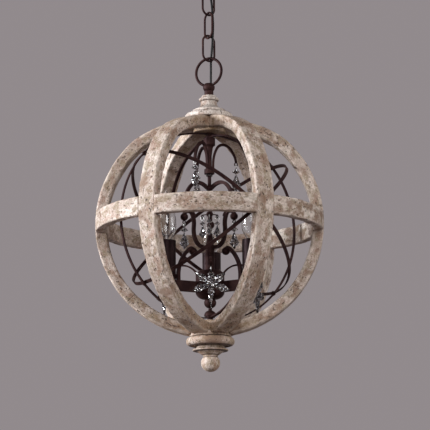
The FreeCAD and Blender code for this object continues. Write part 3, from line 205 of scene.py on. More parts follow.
# The supply cord's route: x and y from the chain's axis, z from the globe's centre
CORD_ROUTE = np.array([
    (3.4, 4.2, 254.0), (3.4, 4.2, 266.0), (3.6, 7.4, 280.0), (3.4, 9.4, 296.78),
    (5.7, 4.0, 319.38), (7.4, -1.3, 338.68), (8.6, -1.8, 362.08), (7.4, -1.3, 381.38),
    (5.7, 4.0, 404.78), (3.0, 9.0, 423.28), (2.6, 10.0, 440.08), (2.6, 11.4, 464.78),
]) * MM + CENTRE
CORD_CUTS = np.array([319.38, 362.08, 404.78]) * MM + CENTRE[2]

# The cord's and the earth wire's radii, which way and how far off the earth wire runs, and how near a cut
# a stretch has no point of its own
CORD_R = 2.0 * MM
EARTH_R = 0.8 * MM
EARTH_TURN = math.radians(65.0)
EARTH_OFF = 3.0 * MM
CUT_CLEAR = 0.1 * MM


# Shader helpers

def place(tree, kind, inputs=None, **settings):
    """Adds a node; each input is a value or another node's output."""
    made = tree.nodes.new(kind)
    for name, value in settings.items():
        setattr(made, name, value)
    for socket, value in (inputs or {}).items():
        if isinstance(value, bpy.types.NodeSocket):
            tree.links.new(value, made.inputs[socket])
        else:
            made.inputs[socket].default_value = value
    return made


def mixed(tree, factor, first, second):
    """The first tone, turning to the second as the factor rises."""
    return place(tree, "ShaderNodeMix", {0: factor, 6: first, 7: second}, data_type="RGBA").outputs[2]


def worked(tree, operation, *values):
    """What the Math node gives for these values, by its name for the operation."""
    return place(tree, "ShaderNodeMath", dict(enumerate(values)), operation=operation).outputs[0]


def stepped(tree, value, low, high):
    """A smooth mask that rises from nothing at low to full at high."""
    return place(tree, "ShaderNodeMapRange", {0: value, 1: low, 2: high}, interpolation_type="SMOOTHSTEP").outputs[0]


def noise(tree, vector, scale, detail, roughness):
    """Noise with this many features to the metre."""
    return place(tree, "ShaderNodeTexNoise", {
        "Vector": vector, "Scale": scale, "Detail": detail, "Roughness": roughness}).outputs[0]


def stretched(tree, vector, scale):
    """The vector scaled axis by axis, so that a pattern runs along one of them."""
    return place(tree, "ShaderNodeMapping", {"Vector": vector, "Scale": scale}).outputs[0]


def grained(tree, grain, along, across, detail, roughness):
    """Noise with this many features to the metre along the grain and across it."""
    return noise(tree, stretched(tree, grain, (along, across, across)), 1.0, detail, roughness)


def laid(tree, tone, mask, share, over):
    """The tone with another one laid over it by that share of the mask."""
    return mixed(tree, worked(tree, "MULTIPLY", mask, share), tone, over)


def colour(value):
    """The tone with a full alpha."""
    return (value[0], value[1], value[2], 1.0)


def group(name, inputs, outputs):
    """An empty node group with these sockets, and its input and output nodes."""
    tree = bpy.data.node_groups.new(name, "ShaderNodeTree")
    for direction, sockets in (("INPUT", inputs), ("OUTPUT", outputs)):
        for socket, kind in sockets.items():
            tree.interface.new_socket(name=socket, in_out=direction, socket_type="NodeSocket" + kind)
    return tree, tree.nodes.new("NodeGroupInput").outputs, tree.nodes.new("NodeGroupOutput").inputs


def weathered_wood():
    """Thin cream wash over brown wood: fine pale and brown specks, rubbed edges with a painted highlight, dark pits and
    joints.

    The tones are laid one over the other, each by a noise stepped to a mask.
    """
    tree, given, result = group(
        "Weathered wood",
        {"Grain": "Vector", "Wear": "Float", "Gap": "Float", "Pale": "Float", "Warm": "Float", "Aged": "Float",
         "Wash": "Color", "Bare": "Color", "Dirt": "Color"},
        {"Color": "Color", "Roughness": "Float", "Height": "Float"})
    link = tree.links.new
    grain, aged = given["Grain"], given["Aged"]
    broad, streak, brown, fine, mottle, blush, spot = (
        grained(tree, grain, *settings) for settings in WOOD_NOISES.values())
    cloud = noise(tree, grain, scale=34.0, detail=5.0, roughness=0.65)
    tone = mixed(tree, stepped(tree, broad, 0.40, 0.60), given["Wash"], CREAM)
    tone = laid(tree, tone, stepped(tree, mottle, 0.46, 0.58), 0.90, UMBER)
    tone = laid(tree, tone, stepped(tree, blush, 0.50, 0.62), 0.65, BLUSH)
    tone = mixed(tree, given["Warm"], tone, OCHRE)
    tone = mixed(tree, given["Pale"], tone, CHALK)
    tone = laid(tree, tone, stepped(tree, brown, 0.46, 0.62), 0.50, given["Bare"])
    tone = laid(tree, tone, stepped(tree, fine, 0.50, 0.64), 0.45, FLECK)
    rubbed = worked(tree, "MULTIPLY", stepped(tree, cloud, 0.50, 0.64), 0.72)
    tone = mixed(tree, rubbed, tone, given["Bare"])
    tone = laid(tree, tone, worked(tree, "MULTIPLY", aged, stepped(tree, blush, 0.50, 0.57)), 0.60, BROWN)
    worn = worked(tree, "MULTIPLY", aged, stepped(tree, blush, 0.41, 0.48))
    tone = laid(tree, tone, worked(tree, "SUBTRACT", aged, worn), 0.60, PALE_PATCH)
    pits = worked(tree, "MULTIPLY", stepped(tree, spot, 0.60, 0.64), stepped(tree, cloud, 0.38, 0.50))
    tone = laid(tree, tone, pits, 0.92, given["Dirt"])
    # Painted highlight along the bars' corners, partly real rubbed wear
    worn_lit_edge = worked(tree, "MULTIPLY", given["Wear"], stepped(tree, mottle, 0.36, 0.52))
    tone = laid(tree, tone, worn_lit_edge, 0.42, WORN_EDGE_AND_HIGHLIGHT)
    # Joints and grooves take the dirt tone; in the turned pieces' grooves it is partly painted shade
    link(mixed(tree, given["Gap"], tone, given["Dirt"]), result["Color"])
    rough = worked(tree, "MULTIPLY_ADD", streak, 0.25, 0.52)
    link(worked(tree, "ADD", rough, worked(tree, "MULTIPLY", rubbed, 0.10)), result["Roughness"])
    height = worked(tree, "MULTIPLY_ADD", streak, -0.5, 0.5)
    for lowered, depth in ((pits, 0.9), (rubbed, 0.35), (fine, 0.2)):
        height = worked(tree, "SUBTRACT", height, worked(tree, "MULTIPLY", lowered, depth))
    link(height, result["Height"])


def mottled_metal():
    """Two tones in soft clouds, with small scuffs of a third and a fine hammered relief."""
    tree, given, result = group(
        "Mottled metal",
        {"Place": "Vector", "Base": "Color", "Cloud": "Color", "Scuff": "Color", "Smooth": "Float"},
        {"Color": "Color", "Roughness": "Float", "Height": "Float"})
    link = tree.links.new
    cloud = noise(tree, given["Place"], scale=55.0, detail=5.0, roughness=0.65)
    speck = noise(tree, given["Place"], scale=420.0, detail=3.0, roughness=0.6)
    dent = noise(tree, given["Place"], scale=140.0, detail=2.0, roughness=0.5)
    tone = mixed(tree, stepped(tree, cloud, 0.38, 0.66), given["Base"], given["Cloud"])
    link(laid(tree, tone, stepped(tree, speck, 0.60, 0.78), 0.55, given["Scuff"]), result["Color"])
    link(worked(tree, "MULTIPLY_ADD", cloud, 0.30, given["Smooth"]), result["Roughness"])
    link(worked(tree, "MULTIPLY_ADD", speck, 0.25, dent), result["Height"])


def new_material(name):
    """A material, its node tree and its shader's inputs."""
    material = bpy.data.materials.new(name)
    material.use_nodes = True
    return material, material.node_tree, material.node_tree.nodes["Principled BSDF"].inputs


def relief(tree, principled, height, distance):
    """Bumps by the height, this far from lowest to highest."""
    bump = place(tree, "ShaderNodeBump", {"Strength": 0.6, "Distance": distance, "Height": height})
    tree.links.new(bump.outputs[0], principled["Normal"])


def own_attribute(tree, name, output):
    """A value that the mesh carries at each of its points."""
    return place(tree, "ShaderNodeAttribute", attribute_name=name).outputs[output]


def own_grain(tree):
    """The place along the grain and across it that the mesh carries."""
    return own_attribute(tree, "grain", "Vector")


def object_place(tree):
    """The place in the object's own axes."""
    return place(tree, "ShaderNodeTexCoord").outputs["Object"]


def finish_from(name, tree, principled, inputs, relief_depth):
    """Adds the named group with these inputs, for the shader's colour, roughness and relief."""
    made = place(tree, "ShaderNodeGroup", inputs, node_tree=bpy.data.node_groups[name]).outputs
    tree.links.new(made["Color"], principled["Base Color"])
    tree.links.new(made["Roughness"], principled["Roughness"])
    relief(tree, principled, made["Height"], relief_depth)


def wood_material(name, grain_of, grooves=(), pale=0.0, warm=0.0, aged=0.0):
    """Weathered wood; grooves are the heights of lines darkened by dirt and painted shade.

    pale and warm turn it towards chalk and ochre. Only bars have aged, which
    sets how patchy their wash is at the right; they also turn ochre towards
    the poles, and their meshes carry gap and wear, where a highlight is also painted.
    """
    looks = bpy.context.scene.chandelier_looks
    material, tree, principled = new_material(name)
    inputs = {"Grain": grain_of(tree), "Wash": colour(looks.wash), "Bare": colour(looks.bare_wood),
              "Dirt": colour(looks.dirt_and_shade), "Pale": pale, "Warm": warm}
    spread = place(tree, "ShaderNodeSeparateXYZ", {0: object_place(tree)}).outputs
    if grooves:
        # Dirt and painted shade darken the turned pieces along each groove
        dark = 0.0
        for level in grooves:
            off = worked(tree, "ABSOLUTE", worked(tree, "SUBTRACT", spread["Z"], level))
            near = worked(tree, "SUBTRACT", 1.0, stepped(tree, off, 0.0, GROOVE_HALF))
            dark = worked(tree, "MAXIMUM", dark, near)
        inputs["Gap"] = worked(tree, "MULTIPLY", dark, GROOVE_DIRT_AND_SHADE)
    elif aged:
        inputs["Wear"] = own_attribute(tree, "wear", "Fac")
        inputs["Gap"] = own_attribute(tree, "gap", "Fac")
        off = worked(tree, "ABSOLUTE", worked(tree, "SUBTRACT", spread["Z"], float(CENTRE[2])))
        inputs["Warm"] = worked(tree, "MULTIPLY", stepped(tree, off, OCHRE_FROM, OCHRE_TO), OCHRE_SHARE)
        inputs["Aged"] = worked(tree, "MULTIPLY", stepped(tree, spread["X"], 0.0, PATCHY_TO), aged)
    principled["Specular IOR Level"].default_value = 0.35
    finish_from("Weathered wood", tree, principled, inputs, 0.5 * MM)
    return material


def metal_material(name, base, cloud, scuff, smooth, metallic, relief_depth):
    """Metal, or plastic that is painted like it, in two tones with scuffs of a third."""
    material, tree, principled = new_material(name)
    principled["Metallic"].default_value = metallic
    principled["Specular IOR Level"].default_value = 0.2
    if metallic < 1.0:
        principled["Specular Tint"].default_value = IRON_SHEEN
    finish_from("Mottled metal", tree, principled,
                {"Place": object_place(tree), "Base": colour(base), "Cloud": colour(cloud), "Scuff": colour(scuff),
                 "Smooth": smooth}, relief_depth)
    return material


def glass_material(name, tint, ior, smudge, facets=0.0):
    """Clear glass with faint smudges; facets to the metre tilt it in small flat cells, some of them shaded."""
    material, tree, principled = new_material(name)
    cloud = noise(tree, object_place(tree), scale=90.0, detail=3.0, roughness=0.6)
    tree.links.new(worked(tree, "MULTIPLY", stepped(tree, cloud, 0.45, 0.8), smudge), principled["Roughness"])
    principled["Base Color"].default_value = colour(tint)
    principled["IOR"].default_value = ior
    principled["Transmission Weight"].default_value = 1.0
    if facets:
        cell = place(tree, "ShaderNodeTexVoronoi", {"Vector": object_place(tree), "Scale": facets}).outputs["Color"]
        shade = place(tree, "ShaderNodeSeparateColor", {0: cell}).outputs[0]
        tree.links.new(mixed(tree, stepped(tree, shade, *SHADED_STEP), SHADED_GLASS, colour(tint)),
                       principled["Base Color"])
        normal = place(tree, "ShaderNodeNewGeometry").outputs["Normal"]
        lean = place(tree, "ShaderNodeVectorMath", {0: cell, 1: (0.5, 0.5, 0.5)}, operation="SUBTRACT").outputs[0]
        tilted = place(tree, "ShaderNodeVectorMath", {0: lean, 1: FACET_TILT, 2: normal},
                       operation="MULTIPLY_ADD").outputs[0]
        tilted = place(tree, "ShaderNodeVectorMath", {0: tilted}, operation="NORMALIZE").outputs[0]
        tree.links.new(tilted, principled["Normal"])
    return material


# Mesh helpers

def ripple(length, seed, waves):
    """Smooth wander along a length: sines of these (count round the globe, height) pairs, in seeded phases."""
    girth = 2 * math.pi * GLOBE_R
    phases = np.random.default_rng(seed).uniform(0.0, 2 * math.pi, len(waves))
    total = np.zeros_like(length)
    for (count, height), phase in zip(waves, phases):
        total = total + height * np.sin(2 * math.pi * length / (girth / count) + phase)
    return total


def chipped(chips, mean, share, least, most):
    """The chips' waves as a factor: mean + share * chips, kept between least and most."""
    return np.clip(mean + share * chips, least, most)


def grid_piece(name, points, material, around=True, along=False, marks=None):
    """Quads between the neighbours of a grid of points (stations, section points, xyz).

    The section closes on itself when around is set, and the stations do when
    along is set. A closed section's open ends get a flat face each.
    """
    rows, columns = points.shape[:2]
    index = np.arange(rows * columns).reshape(rows, columns)
    loop = np.hstack([index, index[:, :1]]) if around else index
    loop = np.vstack([loop, loop[:1]]) if along else loop
    quads = np.stack([loop[:-1, :-1], loop[:-1, 1:], loop[1:, 1:], loop[1:, :-1]], -1).reshape(-1, 4).tolist()
    if around and not along:
        quads += [index[0, ::-1].tolist(), index[-1].tolist()]
    mesh = bpy.data.meshes.new(name)
    mesh.from_pydata(points.reshape(-1, 3).tolist(), [], quads)
    for mark, values in (marks or {}).items():
        if values.ndim == 3:
            mesh.attributes.new(mark, "FLOAT_VECTOR", "POINT").data.foreach_set("vector", values.ravel())
        else:
            mesh.attributes.new(mark, "FLOAT", "POINT").data.foreach_set("value", values.ravel())
    return finished(name, mesh, material)


def finished(name, mesh, material):
    """The mesh as an object in the scene, its faces turned outwards."""
    shell = bmesh.new()
    shell.from_mesh(mesh)
    bmesh.ops.recalc_face_normals(shell, faces=shell.faces)
    shell.to_mesh(mesh)
    shell.free()
    mesh.polygons.foreach_set("use_smooth", np.ones(len(mesh.polygons), bool))
    mesh.materials.append(material)
    piece = bpy.data.objects.new(name, mesh)
    bpy.context.scene.collection.objects.link(piece)
    return piece


def joined(name, pieces):
    """One object from several, in their order."""
    with bpy.context.temp_override(active_object=pieces[0], selected_editable_objects=pieces):
        bpy.ops.object.join()
    pieces[0].name = name
    return pieces[0]


SECTION_ARC = 5
SECTION_SIDE = np.array([0.08, 0.30, 0.5, 0.70, 0.92])
EDGE_FADE = np.array([0.55, 0.0, 0.0, 0.0, 0.55])


def bar_section(inner, outer, half_width, rounding):
    """Rounded rectangles, one a station: four quarter arcs joined by straight sides.

    inner and outer are each station's radii, rounding its four corner radii.
    Gives radius, side and a mask that is one on the corners.
    """
    middle = (inner + outer) / 2
    half_depth = (outer - inner) / 2
    radii, sides, edges = [], [], []
    turns = np.linspace(0.0, math.pi / 2, SECTION_ARC)
    for corner, (up, across) in enumerate(((1, 1), (-1, 1), (-1, -1), (1, -1))):
        arc = turns + corner * math.pi / 2
        bend = rounding[:, corner:corner + 1]
        radii.append((middle + up * half_depth)[:, None] + bend * (np.cos(arc) - up))
        sides.append(across * half_width + bend * (np.sin(arc) - across))
        edges.append(np.ones_like(radii[-1]))
    full_r, full_s, full_e = [], [], []
    for corner in range(4):
        after = (corner + 1) % 4
        for values, full in ((radii, full_r), (sides, full_s)):
            last = values[corner][:, -1:]
            full += [values[corner], last + (values[after][:, :1] - last) * SECTION_SIDE]
        full_e += [edges[corner], edges[corner][:, -1:] * EDGE_FADE]
    return np.hstack(full_r), np.hstack(full_s), np.hstack(full_e)


def crowned(turn):
    """The globe's outline at each angle from the top: radius of its arc, and that arc's centre outward and up.

    The side is an arc about the globe's centre, the shoulder a tighter one,
    and the crown a flatter one that meets the shoulder without a kink.
    """
    away = (GLOBE_R - SHOULDER_R) * math.sqrt(0.5)
    rise = away - GLOBE_R + CROWN_DROP
    crown_r = (SHOULDER_R ** 2 - away ** 2 - rise ** 2) / (2 * (rise + SHOULDER_R))
    crown_up = GLOBE_R - CROWN_DROP - crown_r
    crown = turn < math.atan2(away, away - crown_up)
    shoulder = ~crown & (turn < math.pi / 4)
    radius = np.where(crown, crown_r, np.where(shoulder, SHOULDER_R, GLOBE_R))
    out = np.where(shoulder, away, 0.0)
    return radius, out, np.where(crown, crown_up, out)


def bent_bar(turn, arc_r, middle, outward, sideways, inner, outer, seed, joints):
    """A bent wooden bar: middle + (radius + arc_r - globe's radius) * outward + side * sideways.

    turn is each station's angle, outward its direction, and middle and arc_r
    its arc's centre and radius. The corners wander between crisp and rubbed,
    and each joint is a shallow groove.
    """
    looks = bpy.context.scene.chandelier_looks
    length = turn[0] * GLOBE_R + np.concatenate([[0.0], np.cumsum(np.diff(turn) * arc_r[1:])])
    chips = np.stack([ripple(length, seed * 10 + corner, CHIP_WAVES) for corner in range(4)], -1)
    rounding = looks.edge_rounding * chipped(chips, *ROUNDING_CHIPS)
    gap = np.zeros_like(turn)
    for joint in joints:
        gap = np.maximum(gap, np.clip(1.0 - np.abs(turn - joint) * GLOBE_R / looks.joint_width, 0.0, 1.0))
    sunk = gap * looks.joint_depth
    radius, side, worn_lit_edge = bar_section(inner + sunk, outer - sunk, BAR_HALF_WIDTH - sunk[:, None], rounding)
    # Wear along the corners, which also sets where the painted highlight falls
    rub_and_highlight = np.repeat(chipped(chips, *WEAR_AND_HIGHLIGHT_CHIPS), SECTION_ARC + len(SECTION_SIDE), axis=1)
    radius = radius + ripple(length, seed + BOW_SEED, BOW_WAVES)[:, None]
    reach = radius + (arc_r - GLOBE_R)[:, None]
    points = CENTRE + middle[:, None, :] + reach[..., None] * outward[:, None, :] + side[..., None] * sideways
    grain = np.stack([np.repeat(length[:, None], radius.shape[1], axis=1) + GRAIN_APART * seed, radius, side], -1)
    marks = {"grain": grain.astype(np.float32), "wear": (worn_lit_edge * rub_and_highlight).astype(np.float32),
             "gap": np.repeat(gap[:, None], radius.shape[1], axis=1).astype(np.float32)}
    return points, marks


def stations(low, high, joints, cuts):
    """Even steps from low to high, with close ones at each joint and a pair at each cut."""
    close = [np.linspace(-JOINT_REACH, JOINT_REACH, 5) + joint for joint in joints]
    pairs = [np.array([-CUT_REACH, CUT_REACH]) + cut for cut in cuts]
    even = np.linspace(low, high, int(round((high - low) / BAR_STEP)) + 1)
    return np.unique(np.concatenate([even] + close + pairs))


def normals_along(line, closed):
    """Two unit normals at each point of a line: one kept level where it can be, and the other square to both."""
    ahead = np.roll(line, -1, axis=0) - np.roll(line, 1, axis=0) if closed else np.gradient(line, axis=0)
    ahead = ahead / np.linalg.norm(ahead, axis=1, keepdims=True)
    seed = np.array([0.36, 0.93, 0.0])
    first = seed - ahead * (ahead @ seed)[:, None]
    first = first / np.linalg.norm(first, axis=1, keepdims=True)
    return first, np.cross(ahead, first)


def circle(sides):
    """Even angles once round."""
    return np.linspace(0.0, 2 * math.pi, sides, endpoint=False)


def tube(name, line, radius, material, sides, closed=False):
    """A round tube: line + radius * (cos * first normal + sin * second normal) at each station."""
    first, second = normals_along(line, closed)
    turn = circle(sides)
    around = np.cos(turn)[None, :, None] * first[:, None, :] + np.sin(turn)[None, :, None] * second[:, None, :]
    steps = np.concatenate([[0.0], np.cumsum(np.linalg.norm(np.diff(line, axis=0), axis=1))])
    grain = np.stack(np.broadcast_arrays(steps[:, None], np.cos(turn)[None] * 0.01, np.sin(turn)[None] * 0.01), -1)
    return grid_piece(name, line[:, None, :] + radius * around, material, along=closed,
                      marks={"grain": grain.astype(np.float32)})


def lathe(name, radii, heights, middle, material, sides):
    """A turned body: middle + (radius * cos, radius * sin, height), its profile closed by flat faces."""
    turn = circle(sides)
    points = np.stack(np.broadcast_arrays(
        middle[0] + radii[:, None] * np.cos(turn), middle[1] + radii[:, None] * np.sin(turn),
        middle[2] + heights[:, None]), -1)
    return grid_piece(name, points, material)


# Sizes and colours that a user would change

class ChandelierLooks(bpy.types.PropertyGroup):
    edge_rounding: bpy.props.FloatProperty(
        name="Edge rounding", description="Mean rounding of the wooden bars' rubbed edges",
        default=2.6 * MM, unit="LENGTH", precision=4)
    joint_width: bpy.props.FloatProperty(
        name="Joint width", description="Half the width of a joint's groove across a wooden bar",
        default=0.7 * MM, unit="LENGTH", precision=4)
    joint_depth: bpy.props.FloatProperty(
        name="Joint depth", description="How deep a joint's groove is sunk",
        default=0.5 * MM, unit="LENGTH", precision=4)
    wash: bpy.props.FloatVectorProperty(
        name="Wash", description="Cream wash on the wood", default=(0.54, 0.41, 0.34), subtype="COLOR")
    bare_wood: bpy.props.FloatVectorProperty(
        name="Bare wood", description="Brown wood where the wash is rubbed off",
        default=(0.27, 0.16, 0.105), subtype="COLOR")
    # Dirt in pits and joints, also used for the painted shade in the turned pieces' grooves
    dirt_and_shade: bpy.props.FloatVectorProperty(
        name="Dirt", description="Dark brown in pits, grain and joints", default=(0.075, 0.045, 0.03), subtype="COLOR")
    iron: bpy.props.FloatVectorProperty(
        name="Iron", description="Darkest tone of the ironwork", default=(0.017, 0.0070, 0.007), subtype="COLOR")
    rust: bpy.props.FloatVectorProperty(
        name="Rust", description="Warm clouds on the ironwork", default=(0.045, 0.021, 0.018), subtype="COLOR")
    rubbed_iron: bpy.props.FloatVectorProperty(
        name="Rubbed iron", description="Pale scuffs on the ironwork", default=(0.075, 0.045, 0.040), subtype="COLOR")
    sleeve: bpy.props.FloatVectorProperty(
        name="Candle sleeve", description="Dark brown of the candle sleeves", default=(0.006, 0.002, 0.0025),
        subtype="COLOR")
    backdrop: bpy.props.FloatVectorProperty(
        name="Backdrop", description="Pale colour behind and under the light", default=(0.285, 0.255, 0.265),
        subtype="COLOR")


class ChandelierView(bpy.types.PropertyGroup):
    azimuth: bpy.props.FloatProperty(
        name="Azimuth", description="Where the camera stands round the light", default=math.radians(2.0),
        subtype="ANGLE")
    elevation: bpy.props.FloatProperty(
        name="Elevation", description="How far the camera is above the globe's middle, seen from there",
        default=math.radians(-11.3), subtype="ANGLE")
    roll: bpy.props.FloatProperty(
        name="Roll", description="Turn of the camera about its line of sight", default=math.radians(-0.35),
        subtype="ANGLE")
    distance: bpy.props.FloatProperty(
        name="Distance", description="From the globe's middle to the camera", default=3.2, unit="LENGTH")
    lens: bpy.props.FloatProperty(
        name="Lens", description="Focal length in millimetres on a 36 mm sensor", default=153.1)
    key_power: bpy.props.FloatProperty(
        name="Key light", description="Power of the large lamp at the left", default=153.0, unit="POWER")
    front_power: bpy.props.FloatProperty(
        name="Front light", description="Power of the lamp over the camera", default=38.0, unit="POWER")
    fill_power: bpy.props.FloatProperty(
        name="Fill light", description="Power of the soft lamp at the right", default=22.0, unit="POWER")
    ambient: bpy.props.FloatProperty(
        name="Ambient light", description="Strength of the even light from all round", default=0.16)


# Operators, one for each group of pieces

def lamp(name, place_at, power, size, tint):
    """A square lamp that faces the globe's centre."""
    data = bpy.data.lights.new(name, "AREA")
    data.energy, data.size, data.color = power, size, tint
    made = bpy.data.objects.new(name, data)
    made.location = Vector(CENTRE) + Vector(place_at)
    made.rotation_mode = "QUATERNION"
    made.rotation_quaternion = (-Vector(place_at)).to_track_quat("-Z", "Y")
    bpy.context.scene.collection.objects.link(made)


class CHANDELIER_OT_stage(bpy.types.Operator):
    """Camera, lamps, backdrop and floor"""
    bl_idname = "chandelier.stage"
    bl_label = "Stage"

    def execute(self, context):
        scene, view, looks = context.scene, context.scene.chandelier_view, context.scene.chandelier_looks
        scene.view_settings.view_transform = "Standard"
        camera = bpy.data.objects.new("camera", bpy.data.cameras.new("camera"))
        camera.data.lens = view.lens
        camera.data.sensor_width = SENSOR_MM
        camera.data.shift_x, camera.data.shift_y = VIEW_SHIFT_PX[0] / FRAME_PX, VIEW_SHIFT_PX[1] / FRAME_PX
        back = Vector((math.sin(view.azimuth) * math.cos(view.elevation),
                       -math.cos(view.azimuth) * math.cos(view.elevation), math.sin(view.elevation)))
        camera.location = Vector(CENTRE) + back * view.distance
        camera.rotation_mode = "QUATERNION"
        camera.rotation_quaternion = (-back).to_track_quat("-Z", "Y") @ Quaternion((0.0, 0.0, 1.0), view.roll)
        scene.collection.objects.link(camera)
        scene.camera = camera
        for name, (place_at, size, tint) in LAMPS.items():
            lamp(name + "_lamp", place_at, getattr(view, name + "_power"), size, tint)
        world = bpy.data.worlds.new("room")
        world.use_nodes = True
        tree = world.node_tree
        tree.nodes.clear()
        even = place(tree, "ShaderNodeBackground", {"Color": ROOM_LIGHT, "Strength": view.ambient})
        seen = place(tree, "ShaderNodeBackground", {"Color": colour(looks.backdrop), "Strength": 1.0})
        both = place(tree, "ShaderNodeMixShader", {0: self.seen_rays(tree), 1: even.outputs[0], 2: seen.outputs[0]})
        place(tree, "ShaderNodeOutputWorld", {"Surface": both.outputs[0]})
        scene.world = world
        ends = np.array([-FLOOR_HALF, FLOOR_HALF])
        sheet = np.stack(np.broadcast_arrays(ends[None, :], ends[:, None], FLOOR_Z), -1)
        grid_piece("floor", sheet, self.floor_material(looks.backdrop), around=False)
        return {"FINISHED"}

    @staticmethod
    def seen_rays(tree):
        """Camera, glossy and transmission rays, which see the plain backdrop."""
        path = place(tree, "ShaderNodeLightPath").outputs
        direct = worked(tree, "MAXIMUM", path["Is Camera Ray"], path["Is Glossy Ray"])
        return worked(tree, "MAXIMUM", direct, path["Is Transmission Ray"])

    def floor_material(self, backdrop):
        """Lit and shadowed under the light, it fades into the backdrop further out. From below it isn't seen."""
        material, tree, principled = new_material("floor")
        reach = place(tree, "ShaderNodeVectorMath", {0: object_place(tree)}, operation="LENGTH").outputs["Value"]
        far = stepped(tree, reach, *FLOOR_FADE)
        tree.links.new(mixed(tree, far, colour(backdrop), BLACK), principled["Base Color"])
        tree.links.new(mixed(tree, far, BLACK, colour(backdrop)), principled["Emission Color"])
        tree.links.new(self.seen_rays(tree), principled["Emission Strength"])
        behind = place(tree, "ShaderNodeNewGeometry").outputs["Backfacing"]
        tree.links.new(worked(tree, "SUBTRACT", 1.0, behind), principled["Alpha"])
        principled["Roughness"].default_value = 0.9
        principled["Specular IOR Level"].default_value = 0.0
        return material


class CHANDELIER_OT_ribs(bpy.types.Operator):
    """Six bent wooden ribs from pole to pole, lapped over the level ring"""
    bl_idname = "chandelier.ribs"
    bl_label = "Wooden ribs"

    def execute(self, context):
        material = wood_material("rib_wood", own_grain, aged=0.25)
        inner_r = GLOBE_R - RIB_DEPTH
        pole, lap = math.asin(POLE_HOLE), math.acos(NOTCH_HALF / inner_r)
        for number in range(RIBS):
            joints = (RIB_JOINT + RIB_JOINT_SWAY * math.sin(RIB_JOINT_TURN * number),) if number in JOINTED_RIBS else ()
            turn = stations(pole, math.pi - pole, joints, (lap, math.pi - lap))
            azimuth = SIXTH * number
            level = np.array([math.cos(azimuth), math.sin(azimuth), 0.0])
            outward = np.sin(turn)[:, None] * level + np.cos(turn)[:, None] * UP
            arc_r, out, up = crowned(turn)
            middle = out[:, None] * level + up[:, None] * UP
            inside = np.where((turn > lap) & (turn < math.pi - lap), GLOBE_R - RIB_LAP, inner_r)
            points, marks = bent_bar(turn, arc_r, middle, outward, np.cross(UP, level), inside,
                                     np.full_like(turn, GLOBE_R), seed=number + 1, joints=joints)
            self.seat(points, *CAP_SEAT)
            self.seat(points, *FINIAL_SEAT)
            name = "rib_%d" % (number + 1)
            piece = grid_piece("wood_" + name, points, material, marks=marks)
            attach(piece, "globe")
            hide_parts(name)
        return {"FINISHED"}

    @staticmethod
    def seat(points, reach, level):
        """Flattens the rib where the cap or the finial stands on it."""
        off = np.hypot(points[..., 0] - CENTRE[0], points[..., 1] - CENTRE[1])
        height = points[..., 2] - CENTRE[2]
        past = (off < reach) & (height * np.sign(level) > abs(level))
        points[..., 2] = np.where(past, CENTRE[2] + level, points[..., 2])


class CHANDELIER_OT_ring(bpy.types.Operator):
    """The level wooden ring, let in under each rib"""
    bl_idname = "chandelier.ring"
    bl_label = "Wooden ring"

    def execute(self, context):
        material = wood_material("ring_wood", own_grain, aged=0.75)
        notch = math.asin(NOTCH_HALF / GLOBE_R)
        low = notch * RING_SEAM
        high = 2 * math.pi + low
        cuts = [number * SIXTH + side for number in range(RIBS + 1) for side in (-notch, notch)]
        turn = stations(low, high, RING_JOINTS, [cut for cut in cuts if low < cut < high])[:-1]
        outward = np.stack([np.cos(turn), np.sin(turn), np.zeros_like(turn)], -1)
        off = np.abs((turn + SIXTH / 2) % SIXTH - SIXTH / 2)
        outside = np.where(off < notch, GLOBE_R - RING_LAP, GLOBE_R)
        points, marks = bent_bar(turn, np.full_like(turn, GLOBE_R), np.zeros_like(outward), outward, UP,
                                 np.full_like(turn, GLOBE_R - RING_DEPTH), outside, seed=9, joints=RING_JOINTS)
        piece = grid_piece("wood_ring", points, material, along=True, marks=marks)
        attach(piece, "globe")
        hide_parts("equator_ring")
        return {"FINISHED"}


def dress(material, *names):
    """Gives CAD nodes their material; their shape stays."""
    for name in names:
        materials = NODES[name].data.materials
        materials.clear()
        materials.append(material)


class CHANDELIER_OT_turnings(bpy.types.Operator):
    """Wood finish of the turned cap, finial and pole discs"""
    bl_idname = "chandelier.turnings"
    bl_label = "Turned wood"

    def execute(self, context):
        for name, heights in GROOVE_LEVELS.items():
            grooves = [CENTRE[2] + height * MM for height in heights]
            dress(wood_material(name + "_wood", self.upright_grain, grooves, *TURNED_TONES[name]), name)
        dress(wood_material("disc_wood", self.upright_grain, warm=DISC_OCHRE), "top_disc", "bottom_disc")
        return {"FINISHED"}

    @staticmethod
    def upright_grain(tree):
        """The place in the model, turned so that the grain runs up the turned pieces."""
        return place(tree, "ShaderNodeMapping", {
            "Vector": object_place(tree), "Rotation": (0.0, math.pi / 2, 0.0)}).outputs[0]


class CHANDELIER_OT_ironwork(bpy.types.Operator):
    """Finish of the hoops, stem, scrolls, arms, chain and canopy"""
    bl_idname = "chandelier.ironwork"
    bl_label = "Ironwork"

    def execute(self, context):
        looks = context.scene.chandelier_looks
        forged = metal_material("forged_iron", looks.iron, looks.rust, looks.rubbed_iron,
                                smooth=0.42, metallic=0.30, relief_depth=0.35 * MM)
        dress(forged, "hoop_upright_1", "hoop_tilted_1", "hoop_tilted_2", "hoop_upright_2", "hoop_rivets",
              "centre_rod", "upper_column", "stem_collars", "lower_column", "hub", "ball_nut", "dome_nut",
              "top_hooks", "upper_scrolls", "lower_scrolls", "candle_arms", "crystal_hangers", "candle_cups",
              "fixture_loop", "loop_knob", "chain_link_1", "chain_link_2", "chain_link_3", "canopy_loop", "canopy")
        zinc = metal_material("zinc", base=(0.42, 0.42, 0.41), cloud=(0.55, 0.55, 0.54), scuff=(0.7, 0.7, 0.69),
                              smooth=0.22, metallic=1.0, relief_depth=0.1 * MM)
        dress(zinc, "canopy_crossbar", "canopy_stud")
        return {"FINISHED"}


